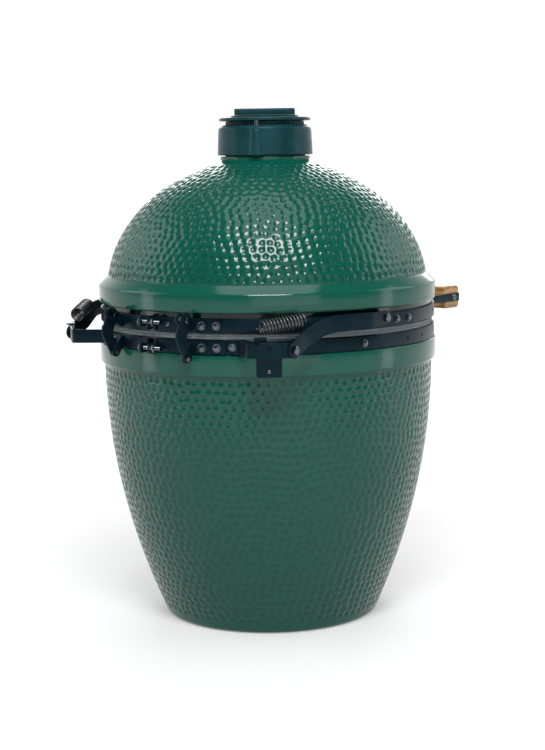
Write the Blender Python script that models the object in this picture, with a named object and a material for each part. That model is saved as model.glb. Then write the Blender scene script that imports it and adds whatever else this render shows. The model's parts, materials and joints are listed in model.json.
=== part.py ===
"""Kamado ceramic grill: egg-shaped ceramic base and dome with a spring-assisted four-bar hinge.

Metres, +Z up. The origin is the centre of the base on the ground, the front is -Y and the hinge
is at +Y. A radius is always measured from the vertical axis of the ceramic body.
"""
import math

import bmesh
import bpy
from mathutils import Matrix, Vector

# Ceramic body
BASE_HEIGHT = 0.455          # ground to the rim of the base
FOOT_RADIUS = 0.1655         # base at the ground
FOOT_ROUND = 0.0095          # rounding where the base meets the ground
BELLY_RADIUS = 0.2555        # ceramic under both bands
WALL = 0.0255                # ceramic thickness at the seam
WALL_RELIEF = 0.0015         # the wall is this much thinner below the seam
FLOOR = 0.028                # ceramic thickness under the fire
FLOOR_COVE = 0.012           # cove between the inner wall and the floor
FLOOR_COVE_HEIGHT = 0.020
LIP = 0.006                  # how far each rim bead stands out beyond the band seat
LIP_ROUND = 0.003
BASE_LIP_HEIGHT = 0.0315
LIP_COVE = 0.002             # height of the cove under the base's bead
SEAT_HEIGHT = 0.0215         # band seat between the base bead and the seam
DOME_SEAT_HEIGHT = 0.029
DOME_LIP_HEIGHT = 0.026
DOME_BEVEL = 0.013
SEAM = 0.009                 # height of the felt joint between base and dome
DOME_RISE = 0.206            # half height of the dome's ellipse
DOME_SINK = 0.014            # centre of the ellipse below the top of the dome's bead
DOME_INSET = 0.006           # widest dimpled circle inside the band seat
DOME_WALL = 0.022
NECK_RADIUS = 0.060
NECK_HEIGHT = 0.0355         # neck above its smooth ring
NECK_RING = 0.0095           # how far the ring stands out beyond the neck
NECK_RING_HEIGHT = 0.005
NECK_RING_RISE = 0.0015      # top of the ring above the top of the ellipse
RING_SLOPE = 0.0006
RING_ROUND = 0.0015
FLARE_HEIGHT = 0.0155        # flare from the dome up to the ring
FLARE = ((0.0245, 0.0120), (0.0130, 0.0068), (0.0050, 0.0025))    # (outside the ring, below it)
THROAT_WALL = 0.0135
THROAT_DEPTH = 0.0405        # inner top of the dome below the ring
CROWN_DEPTH = 0.0575         # end of the inner ellipse below the ring
ROUND = 48                   # sides of the large round pieces

# Fits
GAP = 0.0003                 # between pieces that touch
PLAY = 0.0006                # beside a moving piece
PIN_PLAY = 0.0003            # around a pin
BAND_PLAY = 0.0009           # between a band and its seat
RING_PLAY = 0.0012           # between the collar and the neck's ring or felt
CUT_PAST = 0.050             # how far a cutter runs past the wall it cuts

# Bands and felt
BAND_THICK = 0.0032
BAND_HEIGHT = 0.0195
BAND_EDGE = 0.0012           # band back from the rim of the base
DOME_BAND_EDGE = 0.0016      # band back from the lower edge of the dome
BAND_SPLIT = 0.0065          # half of the split at the back
EAR_REACH = 0.0190
EAR_BOLT = 0.0118            # bolt outwards of the band's middle
EAR_HEIGHT = 0.0130          # the ears keep clear of the seam while the lid swings back
CLAMP_RADIUS = 0.0033
CLAMP_HEAD = 0.0062
CLAMP_HEAD_THICK = 0.005
CLAMP_TAIL = 0.018
CLAMP_NUT = 0.0066
CLAMP_NUT_THICK = 0.0055
FELT_SIDE = 0.0015           # felt wider than the wall
FELT_PROUD = 0.0008          # felt stands out beyond the band seat

# Hinge: OUT is from the belly, RISE from the top of the felt, DROP from the rim of the base
LINK_PIVOT_OUT = 0.0095
LINK_PIVOT_DROP = 0.0248
LINK_TOP_OUT = 0.0114
LINK_TOP_RISE = 0.0202
SLOT_TRAVEL = 0.0092         # pin travel in the lug while the lid opens
SLOT_TILT = math.radians(18.3)
PIN_RADIUS = 0.0029
PIN_HEAD = 0.0068
PIN_HEAD_THICK = 0.0040
PIN_NUT = 0.0048
LUG_X = 0.0685
LUG_THICK = 0.0034
LUG_RADIUS = 0.0085
LOWER_LUG_RADIUS = 0.0075
LUG_ROOT_RADIUS = 0.0020
LUG_ROOT_EDGE = 0.003        # root of the lug inside the edge of its plate
LINK_THICK = 0.0030
LINK_TOP_RADIUS = 0.0105
LINK_FOOT_RADIUS = 0.0070
LINK_BULGE = 0.0145
LINK_BULGE_OUT = 0.0065
LINK_BULGE_RISE = 0.004
SCOOP_RADIUS = 0.0175        # hollow in the link's inner edge, clear of the lid's band
SCOOP_DEPTH = 0.0018         # scoop past the line of the link's pivots
SCOOP_RISE = 0.0010
BRACKET_THICK = 0.0030
BRACKET_END = math.radians(27.0)
BRACKET_HEIGHT = 0.0185
BRACKET_EDGE = 0.0007        # bracket inside the edge of its band
STRAP_THICK = 0.0030
STRAP_HEIGHT = 0.0206
STRAP_START = math.radians(28.0)
STRAP_LEAVES = math.radians(30.5)
STRAP_BOWED = math.radians(35.5)
STRAP_TURNS = math.radians(41.0)
STRAP_STANDOFF = 0.0505      # bowed stretch outside the belly
STRAP_RUN = 0.0255           # straight stretch between the bow and the flange
STRAP_FLANGE = 0.0177
FLANGE_PIVOT = 0.0062        # arm pivot ahead of the flange's bend
ARM_PIVOT_DROP = 0.0097
ARM_KNEE_AHEAD = 0.060       # knee ahead of the arm pivot
ARM_KNEE_RISE = 0.0125
DOME_PIVOT_BEHIND = 0.0461   # dome pivot behind the vertical axis
DOME_PIVOT_RISE = 0.0157
ARM_THICK = 0.0030
ARM_BEND = 0.032             # bends of the arm behind its knee and behind the dome pivot
ARM_PIVOT_RADIUS = 0.0115
ARM_KNEE_RADIUS = 0.0125
ARM_RUN_STEP = 0.0008        # front run narrower than the knee
ARM_FRONT_RADIUS = 0.0100
MOUNT_START = math.radians(76.5)
MOUNT_END = math.radians(95.0)
MOUNT_HEIGHT = 0.0165
TAB_ANGLE = math.radians(40.5)
TAB_WIDTH = 0.036
TAB_JOGGLE = 0.005
TAB_RISE = 0.004             # top of the tab above the rim of the base
TAB_DROP = 0.047             # bottom of the tab below the rim of the base
ANCHOR_ANGLE = math.radians(38.3)
ANCHOR_WIDTH = 0.018
ANCHOR_RISE = 0.009          # top of the anchor above the rim of the base
ANCHOR_LEG = 0.021
ANCHOR_REACH = 0.011
ANCHOR_THICK = 0.0024
SPRING_ABOVE_ANCHOR = 0.0125
SPRING_INSIDE_STRAP = 0.0086
SPRING_BESIDE_ARM = 0.0041
SPRING_END_RISE = 0.0397     # hooked end above the arm pivot
SPRING_TAIL = 0.010
SPRING_HOOK = 0.006
SPRING_RADIUS = 0.0094
SPRING_WIRE = 0.0029
SPRING_TURNS = 12
SPRING_SIDES = 6

# Handle
GRIP_HALF_LENGTH = 0.132
GRIP_DEPTH = 0.042
GRIP_HEIGHT = 0.037
GRIP_ROUND = 0.0080
GRIP_END_ROUND = 0.002
GRIP_STANDOFF = 0.0415       # grip outside the belly
HANDLE_BAR_THICK = 0.0040
HANDLE_BAR_HEIGHT = 0.0130
HANDLE_BAR_END = 0.006       # bar stops this far short of the grip's front
HANDLE_FOOT = 0.0313         # length of the bar's foot on the band
HANDLE_SCREW = 0.0028
HANDLE_SCREW_HEAD = 0.0055
HANDLE_SCREW_DOME = 0.0025

# Vent cap
COLLAR_WALL = 0.004          # collar outside the neck's ring
COLLAR_DRAFT = 0.0017
COLLAR_RISE = 0.0015         # bottom of the collar above the neck's ring
COLLAR_HEIGHT = 0.0465
COLLAR_CHAMFER = 0.0050
CAP_NECK_HEIGHT = 0.0055
CAP_FELT = 0.0025
CAP_FELT_SHORT = 0.004       # felt stops below the top of the neck
BOSS_ANGLE = math.radians(29.5)
BOSS_RADIUS = 0.0145
BOSS_INSET = 0.0075          # boss axis inside the collar's face
BOSS_DROP = 0.006
EAR_INSET = 0.004
PLATE_INSET = 0.003
PLATE_THICK = 0.0045
PLATE_ROUND = 0.001
CAP_PIN_RADIUS = 0.0035
CAP_PIN_DEPTH = 0.014
DISC_RADIUS = 0.0520
DISC_THICK = 0.0030
DISC_PIN_RADIUS = 0.0040
RIDGE_LENGTH = 0.0940
RIDGE_WIDTH = 0.0150
RIDGE_RISE = 0.0108
RIDGE_ROOT = 0.0012
RIDGE_ANGLE = math.radians(40.0)
VENT_COUNT = 4
VENT_RADIUS = 0.0105
VENT_CIRCLE = 0.0300

# Draft door
DRAFT_LOW = 0.034
DRAFT_HIGH = 0.086
DRAFT_HALF_ANGLE = math.radians(13.0)
DOOR_HALF_ANGLE = math.radians(14.5)
FRAME_HALF_ANGLE = math.radians(43.5)
FRAME_MARGIN = 0.011
FRAME_SHEET = 0.0012
SCREEN_THICK = 0.0010
DOOR_THICK = 0.0014
RAIL_LIP = 0.0050
KNOB_PLACE = 0.75            # share of the door's half width
KNOB_TILT = -0.35
KNOB = ((-0.001, 0.004), (0.004, 0.004), (0.006, 0.007), (0.011, 0.0065))

# Inside
FIREBOX_WALL = 0.016
FIREBOX_TOP = 0.300
FIREBOX_INSET = 0.0136       # foot of the firebox inside the base
FIREBOX_PLAY = 0.010
FIREBOX_LEDGE = 0.120
FIREBOX_LEDGE_THICK = 0.016
FIREBOX_TAPER = 0.022
GRATE_PLAY = 0.006
GRATE_BEARING = 0.019        # width of the ledge under the grate
ASH_DOOR_HALF = 0.046
ASH_DOOR_TOP = 0.084
GRATE_RADIUS = 0.104
GRATE_THICK = 0.009
GRATE_RIM = 0.020
GRATE_SLOT = 0.016
GRATE_PITCH = 0.030
RING_DEPTH = 0.032           # top of the fire ring below the rim of the base
RING_INSET = 0.008
RING_WALL = 0.015
GRID_PLAY = 0.0115
GRID_ROD = 0.0045
GRID_BAR = 0.0028
GRID_BARS = 11
GRID_CROSS = 0.085
GRID_BAR_RISE = 0.0011
GRID_CROSS_DROP = 0.0017
GRID_BAR_SHORT = 0.0005

# Thermometer
GAUGE_RISE = 0.136           # above the felt
GAUGE_TUBE = 0.0045
GAUGE_PROBE = 0.0027
GAUGE_PROBE_END = 0.062
GAUGE_PROBE_STEP = 0.040
GAUGE_HOLE = 0.0060
GAUGE_RADIUS = 0.0270
GAUGE_DEPTH = 0.0120
GAUGE_CLEAR = 0.0022         # cup above the dome
GAUGE_SHEET = 0.0016
GAUGE_ROUND = 0.002
DIAL_THICK = 0.0027
DIAL_HOLE = 0.0015
NEEDLE_LENGTH = 0.0170
NEEDLE_HUB = 0.0030
NEEDLE_TIP = 0.0006
NEEDLE_PIN = 0.0010
NEEDLE_THICK = 0.0010
LENS_SINK = 0.0030
LENS_THICK = 0.0016
LENS_DOME = 0.0012

SEAM_LOW = BASE_HEIGHT
SEAM_HIGH = BASE_HEIGHT + SEAM
DOME_BELLY = BELLY_RADIUS - DOME_INSET
LIP_RADIUS = BELLY_RADIUS + LIP
BAND_INNER = BELLY_RADIUS + BAND_PLAY
BAND_OUTER = BAND_INNER + BAND_THICK
BRACKET_INNER = BAND_OUTER + GAP
BRACKET_OUTER = BRACKET_INNER + BRACKET_THICK
LOWER_BAND_BOTTOM = SEAM_LOW - BAND_EDGE - BAND_HEIGHT
UPPER_BAND_BOTTOM = SEAM_HIGH + DOME_BAND_EDGE
DOME_LIP_LOW = SEAM_HIGH + DOME_SEAT_HEIGHT
DOME_LIP_HIGH = DOME_LIP_LOW + DOME_LIP_HEIGHT
DOME_CENTRE = DOME_LIP_HIGH - DOME_SINK
BASE_LIP_HIGH = BASE_HEIGHT - SEAT_HEIGHT
BASE_LIP_LOW = BASE_LIP_HIGH - BASE_LIP_HEIGHT
NECK_RING_RADIUS = NECK_RADIUS + NECK_RING
NECK_RING_TOP = DOME_CENTRE + DOME_RISE + NECK_RING_RISE
NECK_TOP = NECK_RING_TOP + NECK_HEIGHT
THROAT_RADIUS = NECK_RADIUS - THROAT_WALL
COLLAR_RADIUS = NECK_RING_RADIUS + COLLAR_WALL
COLLAR_TOP_RADIUS = COLLAR_RADIUS - COLLAR_DRAFT
COLLAR_BOTTOM = NECK_RING_TOP + COLLAR_RISE
COLLAR_TOP = COLLAR_BOTTOM + COLLAR_HEIGHT
CAP_FELT_RADIUS = NECK_RADIUS + CAP_FELT
PLATE_LOW = COLLAR_TOP + CAP_NECK_HEIGHT + PLAY
PLATE_RADIUS = COLLAR_RADIUS - PLATE_INSET
STRAP_BOW = BELLY_RADIUS + STRAP_STANDOFF
STRAP_END_X = STRAP_BOW * math.sin(STRAP_TURNS) + STRAP_RUN * math.cos(STRAP_TURNS)
STRAP_BEND_Y = STRAP_BOW * math.cos(STRAP_TURNS) - STRAP_RUN * math.sin(STRAP_TURNS)
ARM_INNER_X = STRAP_END_X + STRAP_THICK / 2 + PLAY
GRIP_BACK = -(BELLY_RADIUS + GRIP_STANDOFF)

# Pivots of the hinge, seen from the side as (y, z)
LINK_PIVOT = (BELLY_RADIUS + LINK_PIVOT_OUT, SEAM_LOW - LINK_PIVOT_DROP)
LINK_TOP = (BELLY_RADIUS + LINK_TOP_OUT, SEAM_HIGH + LINK_TOP_RISE)
ARM_PIVOT = (STRAP_BEND_Y - FLANGE_PIVOT, SEAM_LOW - ARM_PIVOT_DROP)
ARM_KNEE = (ARM_PIVOT[0] - ARM_KNEE_AHEAD, SEAM_HIGH + ARM_KNEE_RISE)
DOME_PIVOT = (DOME_PIVOT_BEHIND, SEAM_HIGH + DOME_PIVOT_RISE)
ARM_BEND_BACK = ARM_KNEE[0] + ARM_BEND
ARM_BEND_FRONT = DOME_PIVOT[0] + ARM_BEND

MATERIALS = {
    "glazed_ceramic": ((0.010, 0.085, 0.060), 0.15, 0.0),
    "bare_ceramic": ((0.62, 0.56, 0.47), 0.9, 0.0),
    "black_steel": ((0.012, 0.018, 0.020), 0.38, 0.6),
    "spring_steel": ((0.03, 0.03, 0.032), 0.3, 0.9),
    "plated_steel": ((0.35, 0.36, 0.36), 0.3, 1.0),
    "stainless_steel": ((0.6, 0.6, 0.6), 0.3, 1.0),
    "cast_iron": ((0.03, 0.035, 0.035), 0.5, 0.7),
    "grey_felt": ((0.16, 0.20, 0.22), 0.95, 0.0),
    "oak": ((0.55, 0.33, 0.13), 0.5, 0.0),
    "dial_white": ((0.85, 0.85, 0.82), 0.5, 0.0),
    "needle_red": ((0.6, 0.05, 0.03), 0.4, 0.0),
    "lens_glass": ((0.9, 0.95, 0.95), 0.05, 0.0),
}


def clear_scene():
    for item in list(bpy.data.objects):
        bpy.data.objects.remove(item, do_unlink=True)


def material(name):
    found = bpy.data.materials.get(name)
    if found:
        return found
    colour, roughness, metallic = MATERIALS[name]
    made = bpy.data.materials.new(name)
    made.use_nodes = True
    shader = made.node_tree.nodes["Principled BSDF"]
    shader.inputs["Base Color"].default_value = (*colour, 1.0)
    shader.inputs["Roughness"].default_value = roughness
    shader.inputs["Metallic"].default_value = metallic
    return made


def finish(name, mesh_edit, finish_name, place=None, smooth=35):
    """Turn an edited mesh into a named object with outward faces; place is its world matrix."""
    bmesh.ops.remove_doubles(mesh_edit, verts=mesh_edit.verts, dist=1e-6)
    bmesh.ops.recalc_face_normals(mesh_edit, faces=mesh_edit.faces)
    mesh = bpy.data.meshes.new(name)
    mesh_edit.to_mesh(mesh)
    mesh_edit.free()
    mesh.shade_smooth()
    mesh.set_sharp_from_angle(angle=math.radians(smooth))
    item = bpy.data.objects.new(name, mesh)
    mesh.materials.append(material(finish_name))
    if place is not None:
        item.matrix_world = place
    bpy.context.scene.collection.objects.link(item)
    return item


def lathe(name, profile, finish_name, sides=ROUND, start=0.0, sweep=math.tau, place=None):
    """Turn a closed (radius, height) outline about Z; angles run from +Y towards -X."""
    work = bmesh.new()
    whole = abs(sweep - math.tau) < 1e-6
    steps = sides if whole else sides + 1
    rings = []
    for step in range(steps):
        angle = start + sweep * step / sides
        ring = []
        for index, (radius, height) in enumerate(profile):
            if radius < 1e-7 and rings:
                ring.append(rings[0][index])
            else:
                at = (-radius * math.sin(angle), radius * math.cos(angle), height)
                ring.append(work.verts.new(at))
        rings.append(ring)
    count = len(profile)
    for step in range(sides):
        here = rings[step]
        there = rings[(step + 1) % steps]
        for index in range(count):
            after = (index + 1) % count
            corners = []
            for vert in (here[index], here[after], there[after], there[index]):
                if vert not in corners:
                    corners.append(vert)
            if len(corners) > 2:
                work.faces.new(corners)
    if not whole:
        work.faces.new(rings[0])
        work.faces.new(rings[-1])
    return finish(name, work, finish_name, place)


def prism(name, outline, low, high, finish_name, axes="xyz", place=None, cuts=()):
    """Extrude a flat outline from low to high along the third of the named axes.

    cuts are values of the outline's first axis where the piece gets a row of edges to bend at.
    """
    work = bmesh.new()
    order = ["xyz".index(axis) for axis in axes]
    verts = []
    for first, second in outline:
        at = [0.0, 0.0, 0.0]
        at[order[0]] = first
        at[order[1]] = second
        at[order[2]] = low
        verts.append(work.verts.new(at))
    face = work.faces.new(verts)
    shift = Vector((0.0, 0.0, 0.0))
    shift[order[2]] = high - low
    made = bmesh.ops.extrude_face_region(work, geom=[face])["geom"]
    raised = [item for item in made if isinstance(item, bmesh.types.BMVert)]
    bmesh.ops.translate(work, verts=raised, vec=shift)
    work.normal_update()
    for value in cuts:
        at = Vector((0.0, 0.0, 0.0))
        normal = Vector((0.0, 0.0, 0.0))
        at[order[0]] = value
        normal[order[0]] = 1.0
        every = list(work.verts) + list(work.edges) + list(work.faces)
        bmesh.ops.bisect_plane(work, geom=every, plane_co=at, plane_no=normal)
    return finish(name, work, finish_name, place)


def arc(centre, radius, start, end, steps):
    """Points on a circle between two angles, both ends included."""
    angles = [start + (end - start) * step / steps for step in range(steps + 1)]
    return [(centre[0] + radius * math.cos(a), centre[1] + radius * math.sin(a)) for a in angles]


def hull_of_circles(circles, steps=12):
    """The outline of a belt pulled round circles, each a (centre, radius)."""
    points = set()
    for centre, radius in circles:
        points.update(arc(centre, radius, 0.0, math.tau * (steps - 1) / steps, steps - 1))
    ordered = sorted(points)

    def half(sequence):
        chain = []
        for point in sequence:
            while len(chain) > 1:
                a, b = chain[-2], chain[-1]
                turn = (b[0] - a[0]) * (point[1] - a[1]) - (b[1] - a[1]) * (point[0] - a[0])
                if turn > 1e-12:
                    break
                chain.pop()
            chain.append(point)
        return chain[:-1]

    return half(ordered) + half(reversed(ordered))


def bar_outline(path, thick):
    """Both edges of a flat bar that follows a path, as one closed outline with mitred corners."""
    left = []
    right = []
    for index, point in enumerate(path):
        before = Vector(path[max(index - 1, 0)])
        here = Vector(point)
        after = Vector(path[min(index + 1, len(path) - 1)])
        into = (here - before).normalized() if index else (after - here).normalized()
        out = (after - here).normalized() if index < len(path) - 1 else into
        along = (into + out).normalized()
        normal = Vector((-along.y, along.x))
        reach = thick / 2 / max(normal.dot(Vector((-into.y, into.x))), 0.3)
        left.append(tuple(here + normal * reach))
        right.append(tuple(here - normal * reach))
    return left + right[::-1]


def polar(radius, angle, side=1):
    """A plan point at an angle from +Y; side -1 is towards -X and 1 is towards +X."""
    return (side * radius * math.sin(angle), radius * math.cos(angle))


def polar_arc(radius, start, end, side, steps):
    return [polar(radius, start + (end - start) * step / steps, side) for step in range(steps + 1)]


def round_cutter(name, centre, direction, radius, length, sides=12):
    """A hidden cylinder for a Boolean, centred on a point."""
    work = bmesh.new()
    bmesh.ops.create_cone(work, cap_ends=True, segments=sides, radius1=radius, radius2=radius,
                          depth=length)
    turn = Vector((0, 0, 1)).rotation_difference(Vector(direction)).to_matrix().to_4x4()
    item = finish(name, work, "plated_steel", Matrix.Translation(centre) @ turn)
    hide(item)
    return item


def box_cutter(name, low, high):
    outline = [(low[0], low[1]), (high[0], low[1]), (high[0], high[1]), (low[0], high[1])]
    item = prism(name, outline, low[2], high[2], "plated_steel")
    hide(item)
    return item


def hide(item):
    item.hide_render = True
    item.display_type = "WIRE"


def boolean(item, other, operation):
    step = item.modifiers.new(other.name, "BOOLEAN")
    step.operation = operation
    step.solver = "EXACT"
    step.object = other


def cut(item, cutter):
    boolean(item, cutter, "DIFFERENCE")


def join(item, piece):
    hide(piece)
    boolean(item, piece, "UNION")


def turned_pin(name, centre, direction, stations, finish_name="plated_steel", sides=8):
    """A turned pin or bolt: stations are (distance from the centre, radius) along direction."""
    profile = [(0.0, stations[0][0])]
    profile += [(radius, distance) for distance, radius in stations]
    profile.append((0.0, stations[-1][0]))
    turn = Vector((0, 0, 1)).rotation_difference(Vector(direction)).to_matrix().to_4x4()
    return lathe(name, profile, finish_name, sides, place=Matrix.Translation(centre) @ turn)


def tube(name, points, radius, sides, finish_name):
    """A round wire along computed points, closed at both ends."""
    work = bmesh.new()
    rings = []
    normal = None
    for index, point in enumerate(points):
        before = Vector(points[max(index - 1, 0)])
        after = Vector(points[min(index + 1, len(points) - 1)])
        along = (after - before).normalized()
        if normal is None:
            normal = along.orthogonal().normalized()
        normal = (normal - along * normal.dot(along)).normalized()
        other = along.cross(normal)
        ring = []
        for side in range(sides):
            angle = math.tau * side / sides
            offset = normal * math.cos(angle) + other * math.sin(angle)
            ring.append(work.verts.new(Vector(point) + offset * radius))
        rings.append(ring)
    for here, there in zip(rings, rings[1:]):
        for side in range(sides):
            after = (side + 1) % sides
            work.faces.new((here[side], here[after], there[after], there[side]))
    work.faces.new(rings[0])
    work.faces.new(rings[-1])
    return finish(name, work, finish_name)


def belly(height):
    """Outer radius of the base: a parabola from the foot to the belly."""
    share = 1.0 - height / BASE_LIP_LOW
    return BELLY_RADIUS - (BELLY_RADIUS - FOOT_RADIUS) * share * share


def base_inner(height):
    return belly(min(height, BASE_LIP_LOW)) - WALL + WALL_RELIEF


def dome_outer(height, inset=0.0):
    """Outer radius of the dome's ellipse, or the same ellipse drawn in by a wall."""
    share = (height - DOME_CENTRE) / (DOME_RISE - inset)
    return (DOME_BELLY - inset) * math.sqrt(max(1.0 - share * share, 0.0))


def dome_heights(low, high, steps):
    """Heights that follow the curve of the dome: even steps of angle, not of height."""
    start = math.asin((low - DOME_CENTRE) / DOME_RISE)
    end = math.asin((high - DOME_CENTRE) / DOME_RISE)
    return [DOME_CENTRE + DOME_RISE * math.sin(start + (end - start) * n / steps)
            for n in range(steps + 1)]


def base_shell():
    outer = [(0.0, 0.0)]
    corner = (FOOT_RADIUS - FOOT_ROUND * 0.6, FOOT_ROUND)
    outer += arc(corner, FOOT_ROUND, -math.pi / 2, -math.radians(22), 3)
    first = FOOT_ROUND * 1.3
    outer += [(belly(h), h) for h in
              [first + (BASE_LIP_LOW - LIP_COVE - first) * n / 6 for n in range(7)]]
    outer += [(LIP_RADIUS - LIP_ROUND, BASE_LIP_LOW),
              (LIP_RADIUS, BASE_LIP_LOW + LIP_ROUND),
              (LIP_RADIUS, BASE_LIP_HIGH - LIP_ROUND),
              (LIP_RADIUS - LIP_ROUND, BASE_LIP_HIGH),
              (BELLY_RADIUS, BASE_LIP_HIGH + GAP),
              (BELLY_RADIUS, BASE_HEIGHT)]
    inner = [(BELLY_RADIUS - WALL, BASE_HEIGHT)]
    inner += [(base_inner(h), h) for h in
              [BASE_LIP_LOW + (FLOOR + FLOOR_COVE_HEIGHT - BASE_LIP_LOW) * n / 4 for n in range(5)]]
    inner += [(base_inner(FLOOR) - FLOOR_COVE, FLOOR), (0.0, FLOOR)]
    shell = lathe("base_shell", outer + inner, "glazed_ceramic")
    half = (DRAFT_HIGH + DRAFT_LOW) / 2
    reach = belly(half) * math.sin(DRAFT_HALF_ANGLE)
    cut(shell, box_cutter("cut_draft", (-reach, -BELLY_RADIUS - CUT_PAST, DRAFT_LOW),
                          (reach, CUT_PAST - FOOT_RADIUS, DRAFT_HIGH)))


def felt_ring(name, low, high, inner, outer):
    return lathe(name, [(inner, low), (outer, low), (outer, high), (inner, high)], "grey_felt")


def gaskets():
    middle = (SEAM_LOW + SEAM_HIGH) / 2
    inner = BELLY_RADIUS + FELT_PROUD - WALL - FELT_SIDE
    outer = BELLY_RADIUS + FELT_PROUD
    felt_ring("lower_gasket", SEAM_LOW + GAP, middle - GAP / 2, inner, outer)
    felt_ring("upper_gasket", middle + GAP / 2, SEAM_HIGH - GAP, inner, outer)
    felt_ring("chimney_gasket", NECK_RING_TOP + GAP, NECK_TOP - CAP_FELT_SHORT, NECK_RADIUS + GAP,
              CAP_FELT_RADIUS)


def band(name, low, ear_low):
    """A split steel band whose two ends turn out into lower ears at the back."""
    middle = (BAND_INNER + BAND_OUTER) / 2
    split = math.asin((BAND_SPLIT + BAND_THICK / 2) / middle)
    around = polar_arc(middle, split, math.tau - split, 1, ROUND)
    ear_x = BAND_SPLIT + BAND_THICK / 2
    path = [(ear_x, middle + EAR_REACH)] + around + [(-ear_x, middle + EAR_REACH)]
    ring = prism(name, bar_outline(path, BAND_THICK), low, low + BAND_HEIGHT, "black_steel")
    notch_low = ear_low + EAR_HEIGHT if ear_low == low else ear_low - CUT_PAST
    notch = box_cutter("cut_ears_" + name, (-CUT_PAST, BAND_OUTER + BAND_THICK, notch_low),
                       (CUT_PAST, BAND_OUTER + CUT_PAST, notch_low + CUT_PAST))
    cut(ring, notch)
    bolt_at = (0.0, middle + EAR_BOLT, ear_low + EAR_HEIGHT / 2)
    cut(ring, round_cutter("cut_" + name, bolt_at, (1, 0, 0), CLAMP_RADIUS + PIN_PLAY, 0.06))
    face = BAND_SPLIT + BAND_THICK + GAP
    turned_pin(name + "_bolt", bolt_at, (1, 0, 0), [
        (-face - CLAMP_TAIL, CLAMP_RADIUS), (face, CLAMP_RADIUS), (face, CLAMP_HEAD),
        (face + CLAMP_HEAD_THICK, CLAMP_HEAD)])
    clamp_nut(name + "_nut", bolt_at, -face)


def clamp_nut(name, at, face):
    """Nut on the tail of the clamp bolt, against the face of the ear."""
    bore = CLAMP_RADIUS + GAP
    far = face - CLAMP_NUT_THICK
    profile = [(bore, far), (CLAMP_NUT, far), (CLAMP_NUT, face), (bore, face)]
    turn = Vector((0, 0, 1)).rotation_difference(Vector((1, 0, 0))).to_matrix().to_4x4()
    lathe(name, profile, "plated_steel", 8, place=Matrix.Translation(at) @ turn)


def bracket(name, side, low, lug_circles, slot):
    """A plate bolted round the band with a lug that stands out backwards beside the link."""
    middle = BRACKET_INNER + BRACKET_THICK / 2
    start = math.asin((LUG_X + GAP) / middle)
    path = polar_arc(middle, start, BRACKET_END, side, 5)
    if side > 0:
        path = path[::-1]
    plate = prism(name, bar_outline(path, BRACKET_THICK), low, low + BRACKET_HEIGHT, "black_steel")
    near, far = sorted((side * LUG_X, side * (LUG_X + LUG_THICK)))
    lug = prism(name + "_lug", hull_of_circles(lug_circles), near, far, "black_steel", "yzx")
    join(plate, lug)
    across = Vector((1, 0, 0))
    for index, centre in enumerate(slot):
        at = (side * (LUG_X + LUG_THICK / 2), centre[0], centre[1])
        cut(plate, round_cutter(f"cut_{name}_{index}", at, across, slot_radius(slot), 0.02))
    if len(slot) > 1:
        tilt = Vector((math.cos(SLOT_TILT), math.sin(SLOT_TILT)))
        normal = Vector((-tilt.y, tilt.x)) * slot_radius(slot)
        first, last = Vector(slot[0]), Vector(slot[-1])
        corners = [first + normal, last + normal, last - normal, first - normal]
        cutter = prism("cut_" + name + "_slot", [tuple(c) for c in corners], near - CUT_PAST,
                       far + CUT_PAST, "black_steel", "yzx")
        hide(cutter)
        cut(plate, cutter)
    return plate


def slot_radius(slot):
    """A slotted lug also leaves room across the slot, because the linkage is not quite exact."""
    return PIN_RADIUS + (PLAY if len(slot) > 1 else PIN_PLAY)


def hinge_brackets(side, word):
    middle = BRACKET_INNER + BRACKET_THICK / 2
    root_y = math.sqrt(middle * middle - LUG_X * LUG_X) + PLAY
    low = LOWER_BAND_BOTTOM + BRACKET_EDGE
    bracket("lower_bracket_" + word, side, low,
            lug_roots(root_y, low) + [(LINK_PIVOT, LOWER_LUG_RADIUS)], [LINK_PIVOT])
    slide = Vector((math.cos(SLOT_TILT), math.sin(SLOT_TILT))) * SLOT_TRAVEL
    far_end = (LINK_TOP[0] + slide.x, LINK_TOP[1] + slide.y)
    low = UPPER_BAND_BOTTOM + BRACKET_EDGE
    bracket("upper_bracket_" + word, side, low,
            lug_roots(root_y, low) + [(LINK_TOP, LUG_RADIUS), (far_end, LUG_RADIUS)],
            [LINK_TOP, far_end])


def lug_roots(root_y, low):
    """Two small circles where a lug grows out of its plate, near the plate's upper and lower edge."""
    high = low + BRACKET_HEIGHT
    return [((root_y, high - LUG_ROOT_EDGE), LUG_ROOT_RADIUS),
            ((root_y, low + LUG_ROOT_EDGE), LUG_ROOT_RADIUS)]


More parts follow.
